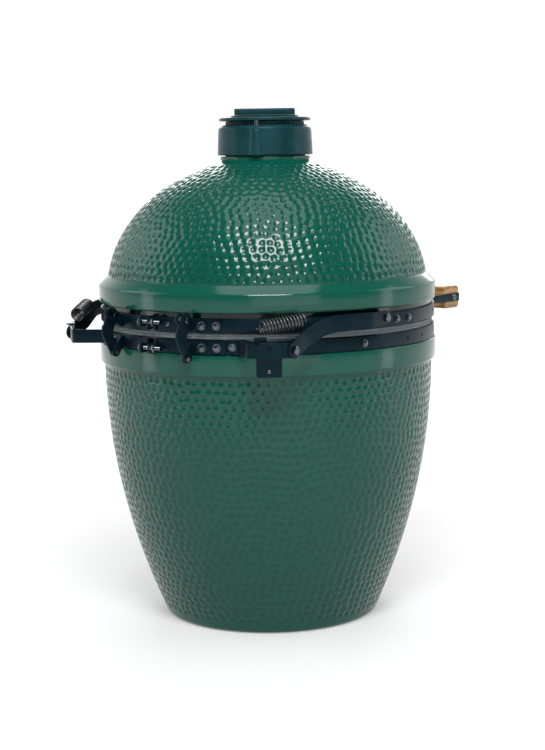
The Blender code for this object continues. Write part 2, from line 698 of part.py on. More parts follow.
def link(side, word):
    inner = LUG_X + LUG_THICK + PLAY
    outer = inner + LINK_THICK
    bulge = (LINK_TOP[0] + LINK_BULGE_OUT, (LINK_TOP[1] + LINK_PIVOT[1]) / 2 + LINK_BULGE_RISE)
    outline = hull_of_circles([(LINK_TOP, LINK_TOP_RADIUS), (bulge, LINK_BULGE),
                               (LINK_PIVOT, LINK_FOOT_RADIUS)])
    near, far = sorted((side * inner, side * outer))
    plate = prism("link_" + word, outline, near, far, "black_steel", "yzx")
    middle_x = side * (inner + outer) / 2
    scoop = (middle_x, LINK_PIVOT[0] + SCOOP_DEPTH - SCOOP_RADIUS,
             (LINK_TOP[1] + LINK_PIVOT[1]) / 2 + SCOOP_RISE)
    cut(plate, round_cutter("cut_scoop_" + word, scoop, (1, 0, 0), SCOOP_RADIUS, 0.02, 24))
    for index, at in enumerate((LINK_PIVOT, LINK_TOP)):
        centre = (middle_x, at[0], at[1])
        cut(plate, round_cutter(f"cut_link_{word}_{index}", centre, (1, 0, 0),
                                PIN_RADIUS + PIN_PLAY, 0.02))
        name = ("link_foot_pin_", "link_top_pin_")[index] + word
        turned_pin(name, (0.0, at[0], at[1]), (side, 0, 0), [
            (LUG_X - PLAY - PIN_HEAD_THICK, PIN_NUT), (LUG_X - PLAY, PIN_NUT),
            (LUG_X - PLAY, PIN_RADIUS), (outer + PLAY, PIN_RADIUS),
            (outer + PLAY, PIN_HEAD), (outer + PLAY + PIN_HEAD_THICK, PIN_NUT)])


def strap(side, word):
    """Bowed strap: it lies on the band, leaves it, bows out and ends in a flange for the arm."""
    flat = BRACKET_INNER + STRAP_THICK / 2
    path = polar_arc(flat, STRAP_START, STRAP_LEAVES, side, 2)
    path += polar_arc(STRAP_BOW, STRAP_BOWED, STRAP_TURNS, side, 3)
    path += [(side * STRAP_END_X, STRAP_BEND_Y), (side * STRAP_END_X, STRAP_BEND_Y - STRAP_FLANGE)]
    low = ARM_PIVOT[1] - STRAP_HEIGHT / 2
    piece = prism("spring_strap_" + word, bar_outline(path, STRAP_THICK), low,
                  low + STRAP_HEIGHT, "black_steel")
    at = (side * STRAP_END_X, ARM_PIVOT[0], ARM_PIVOT[1])
    cut(piece, round_cutter("cut_strap_" + word, at, (1, 0, 0), PIN_RADIUS + PIN_PLAY, 0.012))


def local_frame(angle, side):
    """World matrix of a frame on the axis: X along the rim, Y outwards at the angle, Z up."""
    outward = Vector((side * math.sin(angle), math.cos(angle), 0))
    up = Vector((0, 0, 1))
    along = outward.cross(up)
    return Matrix((along, outward, up)).transposed().to_4x4()


def hanger_tab():
    """Z-bent tab outside the bowed strap on the -X side."""
    near = STRAP_BOW + STRAP_THICK + PLAY
    path = [(near, BASE_HEIGHT + TAB_RISE), (near, BASE_LIP_HIGH),
            (near - TAB_JOGGLE, BASE_LIP_HIGH - TAB_JOGGLE),
            (near - TAB_JOGGLE, BASE_HEIGHT - TAB_DROP)]
    prism("hanger_tab", bar_outline(path, STRAP_THICK), -TAB_WIDTH / 2, TAB_WIDTH / 2,
          "black_steel", "yzx", local_frame(TAB_ANGLE, -1))


def spring_anchor(side, word):
    """Small angle inside the strap whose upper leg carries the end of the spring."""
    face = STRAP_BOW - STRAP_THICK / 2 - PLAY
    inside = math.sqrt(face ** 2 - (ANCHOR_WIDTH / 2) ** 2) - ANCHOR_THICK / 2
    leg = BASE_HEIGHT + ANCHOR_RISE - ANCHOR_THICK / 2
    path = [(inside, leg - ANCHOR_LEG), (inside, leg), (inside + ANCHOR_REACH, leg)]
    prism("spring_anchor_" + word, bar_outline(path, ANCHOR_THICK), -ANCHOR_WIDTH / 2,
          ANCHOR_WIDTH / 2, "black_steel", "yzx", local_frame(ANCHOR_ANGLE, side))


def spring(side, word):
    """Extension spring: a helix whose ends run in to its axis and on to the two hooks."""
    foot = polar(STRAP_BOW - SPRING_INSIDE_STRAP, ANCHOR_ANGLE, side)
    start = Vector((*foot, BASE_HEIGHT + ANCHOR_RISE + SPRING_ABOVE_ANCHOR))
    end = Vector((side * (ARM_INNER_X - SPRING_BESIDE_ARM), ARM_BEND_BACK,
                  ARM_PIVOT[1] + SPRING_END_RISE))
    along = (end - start).normalized()
    normal = along.orthogonal().normalized()
    other = along.cross(normal)
    length = (end - start).length
    steps = SPRING_TURNS * SPRING_SIDES
    points = [start - along * SPRING_TAIL]
    for step in range(steps + 1):
        angle = math.tau * step / SPRING_SIDES
        spin = normal * math.cos(angle) + other * math.sin(angle)
        points.append(start + along * (length * step / steps) + spin * SPRING_RADIUS)
    points.append(end + along * SPRING_HOOK)
    tube("spring_" + word, points, SPRING_WIRE / 2, 4, "spring_steel")


def arm_shift(y):
    """How far out the arm runs at a place along it."""
    inner = ARM_INNER_X + ARM_THICK / 2
    share = (ARM_BEND_BACK - y) / (ARM_BEND_BACK - ARM_BEND_FRONT)
    return inner + (BRACKET_OUTER - inner) * min(max(share, 0.0), 1.0)


def arm(side, word):
    """Side arm: from the strap's pivot up to its knee and forward to the dome's pivot."""
    back = hull_of_circles([(ARM_PIVOT, ARM_PIVOT_RADIUS), (ARM_KNEE, ARM_KNEE_RADIUS)])
    half = ARM_THICK / 2
    plate = prism("arm_" + word, back, -half, half, "black_steel", "yzx",
                  cuts=[ARM_BEND_BACK])
    front = hull_of_circles([(ARM_KNEE, ARM_KNEE_RADIUS - ARM_RUN_STEP),
                             (DOME_PIVOT, ARM_FRONT_RADIUS)])
    run = prism("arm_run_" + word, front, -half * 0.96, half * 0.96, "black_steel", "yzx",
                cuts=[ARM_BEND_FRONT])
    for piece in (plate, run):
        for vert in piece.data.vertices:
            vert.co.x = vert.co.x + side * arm_shift(vert.co.y)
    join(plate, run)
    pivot_at = (side * arm_shift(ARM_PIVOT[0]), ARM_PIVOT[0], ARM_PIVOT[1])
    front_at = (side * arm_shift(DOME_PIVOT[0]), DOME_PIVOT[0], DOME_PIVOT[1])
    for index, at in enumerate((pivot_at, front_at)):
        cut(plate, round_cutter(f"cut_arm_{word}_{index}", at, (1, 0, 0),
                                PIN_RADIUS + PIN_PLAY, 0.012))
    inner = STRAP_END_X - STRAP_THICK / 2 - PLAY
    outer = arm_shift(ARM_PIVOT[0]) + ARM_THICK / 2 + PLAY
    turned_pin("arm_pivot_bolt_" + word, (0, *ARM_PIVOT), (side, 0, 0), [
        (inner - PIN_HEAD_THICK, PIN_NUT), (inner, PIN_NUT), (inner, PIN_RADIUS),
        (outer, PIN_RADIUS), (outer, PIN_HEAD), (outer + PIN_HEAD_THICK, PIN_HEAD)])
    inner = math.sqrt(BRACKET_OUTER ** 2 - (DOME_PIVOT[0] - PIN_HEAD) ** 2) + GAP
    outer = arm_shift(DOME_PIVOT[0]) + ARM_THICK / 2 + PLAY
    turned_pin("dome_pivot_stud_" + word, (0, *DOME_PIVOT), (side, 0, 0), [
        (inner, PIN_RADIUS), (outer, PIN_RADIUS), (outer, PIN_HEAD),
        (outer + PIN_HEAD_THICK, PIN_HEAD)])


def arm_mount(side, word):
    middle = BRACKET_INNER + BRACKET_THICK / 2
    path = polar_arc(middle, MOUNT_START, MOUNT_END, side, 5)
    low = UPPER_BAND_BOTTOM + (BAND_HEIGHT - MOUNT_HEIGHT) / 2
    prism("arm_mount_" + word, bar_outline(path, BRACKET_THICK), low, low + MOUNT_HEIGHT,
          "black_steel")


def dome_shell():
    outer = [(BELLY_RADIUS, SEAM_HIGH), (BELLY_RADIUS, DOME_LIP_LOW - GAP),
             (LIP_RADIUS - LIP_ROUND, DOME_LIP_LOW), (LIP_RADIUS, DOME_LIP_LOW + LIP_ROUND),
             (LIP_RADIUS, DOME_LIP_HIGH)]
    ring_low = NECK_RING_TOP - NECK_RING_HEIGHT
    outer += [(dome_outer(h), h) for h in
              dome_heights(DOME_LIP_HIGH + DOME_BEVEL, ring_low - FLARE_HEIGHT, 7)]
    outer += [(NECK_RING_RADIUS + out, ring_low - down) for out, down in FLARE]
    outer += [(NECK_RING_RADIUS + RING_SLOPE, ring_low),
              (NECK_RING_RADIUS, NECK_RING_TOP - RING_ROUND),
              (NECK_RING_RADIUS - RING_ROUND, NECK_RING_TOP), (NECK_RADIUS, NECK_RING_TOP),
              (NECK_RADIUS, NECK_TOP), (THROAT_RADIUS, NECK_TOP)]
    inner = [(THROAT_RADIUS, NECK_RING_TOP - THROAT_DEPTH)]
    heights = dome_heights(DOME_CENTRE, NECK_RING_TOP - CROWN_DEPTH, 4)[::-1]
    inner += [(dome_outer(h, DOME_WALL), h) for h in heights]
    inner.append((BELLY_RADIUS - WALL, SEAM_HIGH))
    shell = lathe("dome_shell", outer + inner, "glazed_ceramic")
    point, normal = gauge_place()
    cut(shell, round_cutter("cut_gauge", point, normal, GAUGE_HOLE, 2 * (DOME_WALL + CUT_PAST)))


def gauge_place():
    """Where the thermometer's axis leaves the front of the dome, and that axis."""
    height = SEAM_HIGH + GAUGE_RISE
    radius = dome_outer(height)
    normal = Vector((0.0, -radius / DOME_BELLY ** 2, (height - DOME_CENTRE) / DOME_RISE ** 2))
    return Vector((0.0, -radius, height)), normal.normalized()


def thermometer():
    """Cup, dial, needle and lens on the front of the dome, with a tube through its wall."""
    point, normal = gauge_place()
    turn = Vector((0, 0, 1)).rotation_difference(normal).to_matrix().to_4x4()
    place = Matrix.Translation(point) @ turn
    inside = GAUGE_RADIUS - GAUGE_SHEET
    floor = GAUGE_CLEAR + GAUGE_SHEET
    rim = GAUGE_CLEAR + GAUGE_DEPTH
    cup = [(0.0, -GAUGE_PROBE_END), (GAUGE_PROBE, -GAUGE_PROBE_END),
           (GAUGE_PROBE, -GAUGE_PROBE_STEP), (GAUGE_TUBE, NEEDLE_PIN - GAUGE_PROBE_STEP),
           (GAUGE_TUBE, GAUGE_CLEAR), (GAUGE_RADIUS - GAUGE_ROUND, GAUGE_CLEAR),
           (GAUGE_RADIUS, GAUGE_CLEAR + GAUGE_ROUND), (GAUGE_RADIUS, rim), (inside, rim),
           (inside, floor), (0.0, floor)]
    lathe("gauge_case", cup, "stainless_steel", 16, place=place)
    dial = inside - GAP
    face = floor + GAP + DIAL_THICK
    lathe("gauge_dial", [(DIAL_HOLE, floor + GAP), (dial, floor + GAP), (dial, face),
                         (DIAL_HOLE, face)], "dial_white", 16, place=place)
    blade = hull_of_circles([((0.0, 0.0), NEEDLE_HUB), ((0.0, NEEDLE_LENGTH), NEEDLE_TIP)], 8)
    needle = prism("gauge_needle", blade, face + PLAY, face + PLAY + NEEDLE_THICK, "needle_red",
                   place=place)
    hub = lathe("gauge_needle_hub", [(0.0, floor + PLAY), (NEEDLE_PIN, floor + PLAY),
                                     (NEEDLE_PIN, face + NEEDLE_THICK), (0.0, face + NEEDLE_THICK)],
                "needle_red", 8, place=place)
    join(needle, hub)
    glass = rim - LENS_SINK
    lathe("gauge_lens", [(0.0, glass), (dial, glass), (dial, glass + LENS_THICK),
                         (dial / 2, glass + LENS_THICK + LENS_DOME / 2),
                         (0.0, glass + LENS_THICK + LENS_DOME)], "lens_glass", 16, place=place)


def handle():
    """Wooden bar held at both ends by a flat steel bar that comes off the upper band."""
    middle_z = UPPER_BAND_BOTTOM + BAND_HEIGHT / 2
    low = middle_z - HANDLE_BAR_HEIGHT / 2
    inner = BRACKET_INNER + HANDLE_BAR_THICK / 2
    for side, word in ((-1, "left"), (1, "right")):
        end = GRIP_HALF_LENGTH + GAP + HANDLE_BAR_THICK / 2
        foot = math.asin(end / inner)
        path = polar_arc(inner, math.pi - foot + HANDLE_FOOT / inner, math.pi - foot, side, 4)
        path.append((side * end, GRIP_BACK - GRIP_DEPTH + HANDLE_BAR_END))
        piece = prism("handle_bracket_" + word, bar_outline(path, HANDLE_BAR_THICK), low,
                      low + HANDLE_BAR_HEIGHT, "black_steel")
        at = (side * end, GRIP_BACK - GRIP_DEPTH / 2, middle_z)
        cut(piece, round_cutter("cut_handle_" + word, at, (1, 0, 0), HANDLE_SCREW + PIN_PLAY, 0.02))
        face = GRIP_HALF_LENGTH + 2 * GAP + HANDLE_BAR_THICK
        turned_pin("handle_screw_" + word, (0, at[1], at[2]), (side, 0, 0), [
            (GRIP_HALF_LENGTH + GAP, HANDLE_SCREW), (face, HANDLE_SCREW),
            (face, HANDLE_SCREW_HEAD), (face + HANDLE_SCREW_DOME, HANDLE_SCREW)])
    radius = GRIP_ROUND
    front = GRIP_BACK - GRIP_DEPTH
    z_low, z_high = middle_z - GRIP_HEIGHT / 2, middle_z + GRIP_HEIGHT / 2
    corners = [(front + radius, z_low + radius), (GRIP_BACK - radius, z_low + radius),
               (GRIP_BACK - radius, z_high - radius), (front + radius, z_high - radius)]
    outline = hull_of_circles([(corner, radius) for corner in corners])
    grip = prism("handle_grip", outline, -GRIP_HALF_LENGTH, GRIP_HALF_LENGTH, "oak", "yzx")
    ends = grip.modifiers.new("ends", "BEVEL")
    ends.width = GRIP_END_ROUND
    ends.limit_method = "ANGLE"
    ends.angle_limit = math.radians(60)


def collar():
    """Fixed collar on the chimney, its pivot boss and the short neck under the plate."""
    bore_top = NECK_TOP + RING_PLAY
    neck_top = COLLAR_TOP + CAP_NECK_HEIGHT
    profile = [(0.0, COLLAR_BOTTOM), (COLLAR_RADIUS - PLATE_ROUND, COLLAR_BOTTOM),
               (COLLAR_RADIUS, COLLAR_BOTTOM + PLATE_ROUND),
               (COLLAR_TOP_RADIUS, COLLAR_TOP - COLLAR_CHAMFER),
               (COLLAR_TOP_RADIUS - COLLAR_CHAMFER, COLLAR_TOP), (NECK_RADIUS, COLLAR_TOP),
               (NECK_RADIUS, neck_top), (0.0, neck_top)]
    body = lathe("cap_collar", profile, "cast_iron", 28)
    centre = boss_place()
    boss_low = COLLAR_BOTTOM - BOSS_DROP
    boss = lathe("boss", [(0.0, boss_low), (BOSS_RADIUS / 2, boss_low),
                          (BOSS_RADIUS, COLLAR_BOTTOM + EAR_INSET),
                          (BOSS_RADIUS, COLLAR_TOP - EAR_INSET),
                          (BOSS_RADIUS - EAR_INSET, COLLAR_TOP),
                          (BOSS_RADIUS - EAR_INSET, neck_top), (0.0, neck_top)], "cast_iron", 14,
                 place=Matrix.Translation((centre[0], centre[1], 0)))
    join(body, boss)
    ring = NECK_RING_RADIUS + RING_PLAY
    felt = CAP_FELT_RADIUS + RING_PLAY
    below = boss_low - CUT_PAST
    bore = lathe("cut_collar_bore", [(0.0, below), (ring, below), (ring, COLLAR_BOTTOM - GAP),
                                     (felt, COLLAR_BOTTOM - GAP), (felt, bore_top),
                                     (0.0, bore_top)], "cast_iron", 28)
    hide(bore)
    cut(body, bore)
    throat = round_cutter("cut_collar_throat", (0, 0, NECK_TOP), (0, 0, 1), THROAT_RADIUS,
                          2 * CUT_PAST, 28)
    cut(body, throat)
    cut(body, round_cutter("cut_collar_pin", (*centre, COLLAR_TOP), (0, 0, 1),
                           CAP_PIN_RADIUS + PIN_PLAY, 2 * (CAP_PIN_DEPTH + EAR_INSET)))


def boss_place():
    return polar(COLLAR_RADIUS - BOSS_INSET, BOSS_ANGLE, -1)


def cap_plate():
    """Thin plate that swings sideways on the boss, with a ring of vents."""
    low = PLATE_LOW
    high = low + PLATE_THICK
    plate = lathe("cap_plate", [(0.0, low), (PLATE_RADIUS - PLATE_ROUND, low),
                                (PLATE_RADIUS, low + PLATE_ROUND),
                                (PLATE_RADIUS, high - PLATE_ROUND),
                                (PLATE_RADIUS - PLATE_ROUND, high), (0.0, high)], "cast_iron", 28)
    centre = boss_place()
    ear = BOSS_RADIUS - EAR_INSET
    round_ear = lathe("cap_plate_ear", [(0.0, low + GAP), (ear, low + GAP), (ear, high - GAP),
                                        (0.0, high - GAP)], "cast_iron", 14,
                      place=Matrix.Translation((*centre, 0)))
    join(plate, round_ear)
    foot = COLLAR_TOP - CAP_PIN_DEPTH
    pin = lathe("cap_plate_pin", [(0.0, foot), (CAP_PIN_RADIUS, foot),
                                  (CAP_PIN_RADIUS, low + PLATE_THICK / 2),
                                  (0.0, low + PLATE_THICK / 2)], "cast_iron", 12,
                place=Matrix.Translation((*centre, 0)))
    join(plate, pin)
    vents(plate, "plate", low, RIDGE_ANGLE)
    post_top = high + PLAY + DISC_THICK
    post = lathe("cap_plate_post", [(0.0, low + PLATE_ROUND), (DISC_PIN_RADIUS, low + PLATE_ROUND),
                                    (DISC_PIN_RADIUS, post_top), (0.0, post_top)], "cast_iron", 12)
    join(plate, post)


def vents(piece, word, height, first):
    """A ring of round holes; first is the angle of the first one."""
    for index in range(VENT_COUNT):
        angle = first + math.tau * index / VENT_COUNT
        at = (VENT_CIRCLE * math.cos(angle), VENT_CIRCLE * math.sin(angle), height)
        cut(piece, round_cutter(f"cut_vent_{word}_{index}", at, (0, 0, 1), VENT_RADIUS,
                                2 * CUT_PAST, 10))


def damper_disc():
    """Turning disc on the plate with a long raised ridge for the fingers."""
    low = PLATE_LOW + PLATE_THICK + PLAY
    high = low + DISC_THICK
    disc = lathe("damper_disc", [(0.0, low), (DISC_RADIUS, low), (DISC_RADIUS, high),
                                 (0.0, high)], "cast_iron", 28)
    vents(disc, "disc", low, RIDGE_ANGLE + math.pi / VENT_COUNT)
    width = RIDGE_WIDTH / 2
    reach = RIDGE_LENGTH / 2
    outline = hull_of_circles([((-reach + width, 0.0), width), ((reach - width, 0.0), width)])
    turn = Matrix.Rotation(RIDGE_ANGLE, 4, "Z")
    ridge = prism("damper_ridge", outline, high - RIDGE_ROOT, high + RIDGE_RISE, "cast_iron",
                  place=turn)
    pocket = round_cutter("cut_ridge_pocket", (0, 0, low), (0, 0, 1),
                          DISC_PIN_RADIUS + PIN_PLAY, 2 * (DISC_THICK + PLAY), 12)
    join(disc, ridge)
    cut(disc, pocket)


def cone_point(low, high, along, out):
    """A point on the draft frame's cone: along is up the cone from its middle, out is off it."""
    slope = Vector((belly(high) - belly(low), high - low)).normalized()
    normal = Vector((slope.y, -slope.x))
    bulge = belly((low + high) / 2) - (belly(low) + belly(high)) / 2
    middle = Vector(((belly(low) + belly(high)) / 2 + bulge + GAP, (low + high) / 2))
    at = middle + slope * along + normal * out
    return (at.x, at.y)


def draft_door():
    """Steel frame round the draft opening, and the screen and door that slide in its rails."""
    low, high = DRAFT_LOW - FRAME_MARGIN, DRAFT_HIGH + FRAME_MARGIN
    half = (high - low) / 2
    sheet = FRAME_SHEET
    deep = sheet + SCREEN_THICK + DOOR_THICK + 4 * GAP
    lip = sheet
    outline = [(-half, 0), (half, 0), (half, deep + lip), (half - RAIL_LIP, deep + lip),
               (half - RAIL_LIP, deep), (half - sheet, deep), (half - sheet, sheet),
               (-half + sheet, sheet), (-half + sheet, deep), (-half + RAIL_LIP, deep),
               (-half + RAIL_LIP, deep + lip), (-half, deep + lip)]
    profile = [cone_point(low, high, *point) for point in outline]
    start = math.pi - FRAME_HALF_ANGLE
    frame = lathe("draft_frame", profile, "stainless_steel", 18, start, 2 * FRAME_HALF_ANGLE)
    reach = belly((low + high) / 2) * math.sin(DRAFT_HALF_ANGLE)
    cut(frame, box_cutter("cut_frame", (-reach, -BELLY_RADIUS - CUT_PAST, DRAFT_LOW),
                          (reach, CUT_PAST - FOOT_RADIUS, DRAFT_HIGH)))
    panel = half - sheet - GAP
    slab("draft_screen", low, high, panel, sheet + GAP, SCREEN_THICK)
    outer = sheet + 2 * GAP + SCREEN_THICK
    door = slab("draft_door", low, high, panel, outer, DOOR_THICK)
    knob_at = cone_point(low, high, 0.0, outer + DOOR_THICK)
    angle = math.pi + DOOR_HALF_ANGLE * KNOB_PLACE
    foot = Vector((-knob_at[0] * math.sin(angle), knob_at[0] * math.cos(angle), knob_at[1]))
    out = Vector((-math.sin(angle), math.cos(angle), KNOB_TILT)).normalized()
    knob = turned_pin("draft_knob", foot, out, list(KNOB), "stainless_steel")
    join(door, knob)


def slab(name, low, high, half, out, thick):
    corners = [(-half, out), (half, out), (half, out + thick), (-half, out + thick)]
    profile = [cone_point(low, high, *corner) for corner in corners]
    return lathe(name, profile, "stainless_steel", 10, math.pi - DOOR_HALF_ANGLE,
                 2 * DOOR_HALF_ANGLE)


def firebox():
    """Loose ceramic bowl that holds the charcoal, with an ash opening at the front."""
    low = FLOOR + GAP
    foot = base_inner(FLOOR) - FIREBOX_INSET
    outer = [(foot, low)]
    for step in range(1, 5):
        height = low + (FIREBOX_TOP - low) * step / 4
        outer.append((base_inner(height) - FIREBOX_PLAY, height))
    rim = outer[-1][0] - FIREBOX_WALL
    shelf = FIREBOX_LEDGE + FIREBOX_LEDGE_THICK
    throat = GRATE_RADIUS - GRATE_BEARING
    inner = [(rim, FIREBOX_TOP), (rim - FIREBOX_TAPER, (FIREBOX_TOP + shelf) / 2),
             (GRATE_RADIUS + GRATE_PLAY, shelf), (throat, shelf), (throat, FIREBOX_LEDGE),
             (foot - FIREBOX_WALL, FIREBOX_LEDGE - GRATE_PLAY), (foot - FIREBOX_WALL, low)]
    bowl = lathe("firebox", outer + inner, "bare_ceramic", 28)
    cut(bowl, box_cutter("cut_ash", (-ASH_DOOR_HALF, -BELLY_RADIUS, 0.0),
                         (ASH_DOOR_HALF, 0.0, ASH_DOOR_TOP)))


def fire_ring():
    """Loose ceramic ring on the firebox that carries the cooking grid."""
    low = FIREBOX_TOP + GAP
    high = BASE_HEIGHT - RING_DEPTH
    outer_low = base_inner(low) - RING_INSET
    outer_high = base_inner(high) - RING_INSET
    lathe("fire_ring", [(outer_low - RING_WALL, low), (outer_low, low), (outer_high, high),
                        (outer_high - RING_WALL, high)], "bare_ceramic", 28)


def fire_grate():
    """Cast iron disc with slots that lets ash and air through."""
    low = FIREBOX_LEDGE + FIREBOX_LEDGE_THICK + GAP
    high = low + GRATE_THICK
    disc = lathe("fire_grate", [(0.0, low), (GRATE_RADIUS, low), (GRATE_RADIUS, high),
                                (0.0, high)], "cast_iron", 24)
    for index in range(-2, 3):
        x = index * GRATE_PITCH
        half = GRATE_SLOT / 2
        reach = math.sqrt((GRATE_RADIUS - GRATE_RIM) ** 2 - x * x)
        cut(disc, box_cutter(f"cut_grate_{index + 2}", (x - half, -reach, low - GRATE_THICK),
                             (x + half, reach, high + GRATE_THICK)))


def cooking_grid():
    """Wire grid on the fire ring: a round rod, parallel bars and two cross bars under them."""
    high = BASE_HEIGHT - RING_DEPTH
    centre = high + GAP + GRID_ROD
    radius = base_inner(high) - GRID_PLAY - GRID_ROD
    rod = [(radius + GRID_ROD * math.cos(a), centre + GRID_ROD * math.sin(a))
           for a in (math.tau * n / 6 for n in range(6))]
    rim = lathe("cooking_grid", rod, "stainless_steel", 28)
    step = 2 * radius / (GRID_BARS + 1)
    for index in range(GRID_BARS):
        x = -radius + step * (index + 1)
        reach = math.sqrt(radius ** 2 - x * x) - GRID_BAR_SHORT
        join(rim, round_cutter(f"grid_bar_{index}", (x, 0, centre + GRID_BAR_RISE), (0, 1, 0),
                               GRID_BAR, 2 * reach, 4))
    for index, y in enumerate((-GRID_CROSS, GRID_CROSS)):
        reach = math.sqrt(radius ** 2 - y * y) - GRID_BAR_SHORT
        join(rim, round_cutter(f"grid_cross_{index}", (0, y, centre - GRID_CROSS_DROP), (1, 0, 0),
                               GRID_BAR, 2 * reach, 4))


def build():
    clear_scene()
    base_shell()
    dome_shell()
    gaskets()
    band("lower_band", LOWER_BAND_BOTTOM, LOWER_BAND_BOTTOM)
    band("upper_band", UPPER_BAND_BOTTOM, UPPER_BAND_BOTTOM + BAND_HEIGHT - EAR_HEIGHT)
    for side, word in ((-1, "left"), (1, "right")):
        hinge_brackets(side, word)
        link(side, word)
        strap(side, word)
        spring_anchor(side, word)
        spring(side, word)
        arm(side, word)
        arm_mount(side, word)
    hanger_tab()
    handle()
    thermometer()
    collar()
    cap_plate()
    damper_disc()
    draft_door()
    firebox()
    fire_ring()
    fire_grate()
    cooking_grid()


build()
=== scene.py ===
"""Looks of the kamado ceramic grill: dimpled glaze, steel fittings, oak grip and vent cap.

Everything is in metres in the frame's own axes: +Z is up, -Y is the front with the handle and +Y
is the hinge. A plan angle is measured from +Y towards -X, as the hour hand of a clock seen from
above would turn backwards.
"""

import json
import math

import bmesh
import bpy
import numpy as np
from bpy.props import FloatProperty, FloatVectorProperty, IntProperty
from mathutils import Matrix, Vector


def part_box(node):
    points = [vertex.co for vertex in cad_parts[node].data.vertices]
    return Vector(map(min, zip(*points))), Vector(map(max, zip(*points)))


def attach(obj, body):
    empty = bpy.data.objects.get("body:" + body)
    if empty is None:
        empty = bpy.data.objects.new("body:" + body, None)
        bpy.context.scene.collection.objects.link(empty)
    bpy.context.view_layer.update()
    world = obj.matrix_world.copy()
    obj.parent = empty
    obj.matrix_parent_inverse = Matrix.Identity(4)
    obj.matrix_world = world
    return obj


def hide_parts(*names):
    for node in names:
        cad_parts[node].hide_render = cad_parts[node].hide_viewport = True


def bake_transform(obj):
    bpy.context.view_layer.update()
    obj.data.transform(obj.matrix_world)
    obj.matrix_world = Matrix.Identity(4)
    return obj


bl_info = {
    "name": "Kamado Grill Looks",
    "version": (1, 0, 0),
    "blender": (4, 5, 0),
    "location": "3D View > Sidebar > Grill",
    "description": "Builds the visible pieces of a kamado ceramic grill round its frame",
    "category": "Object",
}

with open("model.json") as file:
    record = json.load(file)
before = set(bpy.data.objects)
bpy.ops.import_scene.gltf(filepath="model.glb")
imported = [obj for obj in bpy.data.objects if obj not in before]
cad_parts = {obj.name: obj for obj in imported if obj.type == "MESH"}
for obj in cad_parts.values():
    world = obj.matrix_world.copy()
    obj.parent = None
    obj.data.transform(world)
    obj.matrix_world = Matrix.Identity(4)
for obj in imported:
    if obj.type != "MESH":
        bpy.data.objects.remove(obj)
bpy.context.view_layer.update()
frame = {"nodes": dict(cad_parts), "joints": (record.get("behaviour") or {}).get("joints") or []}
NODES = frame["nodes"]
JOINTS = {joint["name"]: joint for joint in frame["joints"]}


def low(node):
    """Lowest corner of a node's box."""
    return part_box(node)[0]


def high(node):
    """Highest corner of a node's box."""
    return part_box(node)[1]


# Sizes read from the frame
RIM = high("base_shell").z
LIP_RADIUS = high("base_shell").x
SEAM_TOP = low("dome_shell").z
BAND_OUTER = high("lower_band").x
LOWER_BAND = (low("lower_band").z, high("lower_band").z)
UPPER_BAND = (low("upper_band").z, high("upper_band").z)
EAR_TIP = high("lower_band").y
BOSS_DROP = 0.006            # how far the collar's pivot boss hangs below its wall
COLLAR_LOW = low("cap_collar").z + BOSS_DROP
COLLAR_RADIUS = high("cap_collar").x
PLATE_HIGH = low("damper_disc").z
PLATE_RADIUS = high("cap_plate").x
DISC_RADIUS = high("damper_disc").x
CAP_TOP = high("damper_disc").z
GRIP = (low("handle_grip"), high("handle_grip"))
ARM_PIVOT = Vector(JOINTS["arm_swing"]["pos_m"])
DOME_PIVOT = Vector(JOINTS["dome_pivot"]["pos_m"])
LINK_PIVOT = Vector(JOINTS["link_swing"]["pos_m"])
CAP_PIVOT = Vector(JOINTS["cap_swing"]["pos_m"])
GAUGE_AXIS = -Vector(JOINTS["gauge_needle_turn"]["axis"])

# Ceramic
LIP = 0.006                  # how far a bead stands out beyond the band seat
BELLY = LIP_RADIUS - LIP
LIP_ROUND = 0.003
FOOT_RADIUS = 0.1655
FOOT_ROUND = 0.0095
WALL = 0.024                 # base wall, bare inside
FLOOR = 0.028
BASE_LIP = (RIM - 0.053, RIM - 0.0215)
DOME_LIP = (SEAM_TOP + 0.029, SEAM_TOP + 0.055)
DOME_BEVEL = 0.013
DOME_CENTRE = DOME_LIP[1] - 0.014
DOME_HALF = (BELLY - 0.006, 0.206)   # half width and half height of the dome's ellipse
DOME_WALL = 0.022
RING_TOP = COLLAR_LOW - 0.0015
RING_RADIUS = COLLAR_RADIUS - 0.004
NECK_RADIUS = RING_RADIUS - 0.0095
THROAT_RADIUS = NECK_RADIUS - 0.0135
CHIMNEY_TOP = RING_TOP + 0.0355      # top of the glazed neck
SKIN = 0.004                 # thickness of the glazed skin over the bare ceramic
TUCK = 0.0015                # how far hidden edges run under a neighbour

# Steel
BAND_THICK = 0.0032
SHEET = 0.0030
EDGE = 0.0004                # rounding of sheet edges
PLAY = 0.0006
COLLAR_TOP = PLATE_HIGH - 0.0117
NECK_TOP = COLLAR_TOP + 0.0055       # top of the collar's neck, under the swinging plate
SEAT = BAND_OUTER + 0.0003           # where a part bolted on a band begins
EAR_HEIGHT = 0.013                   # height of a band's ears
LUG_THICK = 0.0034
PIN_RADIUS = 0.0029
SLOT_TILT = math.radians(18.3)
SLOT_TRAVEL = 0.0092
VENTS = 4                            # holes in the cap plate, and in the disc
TEETH = 60                           # small teeth round the collar's neck
STRAP_BOW = BELLY + 0.0505
STRAP_TURNS = math.radians(41.0)
STRAP_RUN = 0.0255
RIDGE_ANGLE = math.radians(40.0)
SIDES = ((-1, "left"), (1, "right"))

# Camera
CAMERA_AZIMUTH = 220.3
CAMERA_DISTANCE = 2.6
CAMERA_HEIGHT = 0.722
CAMERA_YAW = math.radians(0.137)
CAMERA_PITCH = math.radians(7.7)
CAMERA_ROLL = math.radians(0.85)
CAMERA_LENS = 80.0


def length(name, description, default, least, most):
    """One size that can be set in the panel."""
    return FloatProperty(name=name, description=description, default=default, min=least, max=most,
                         unit="LENGTH")


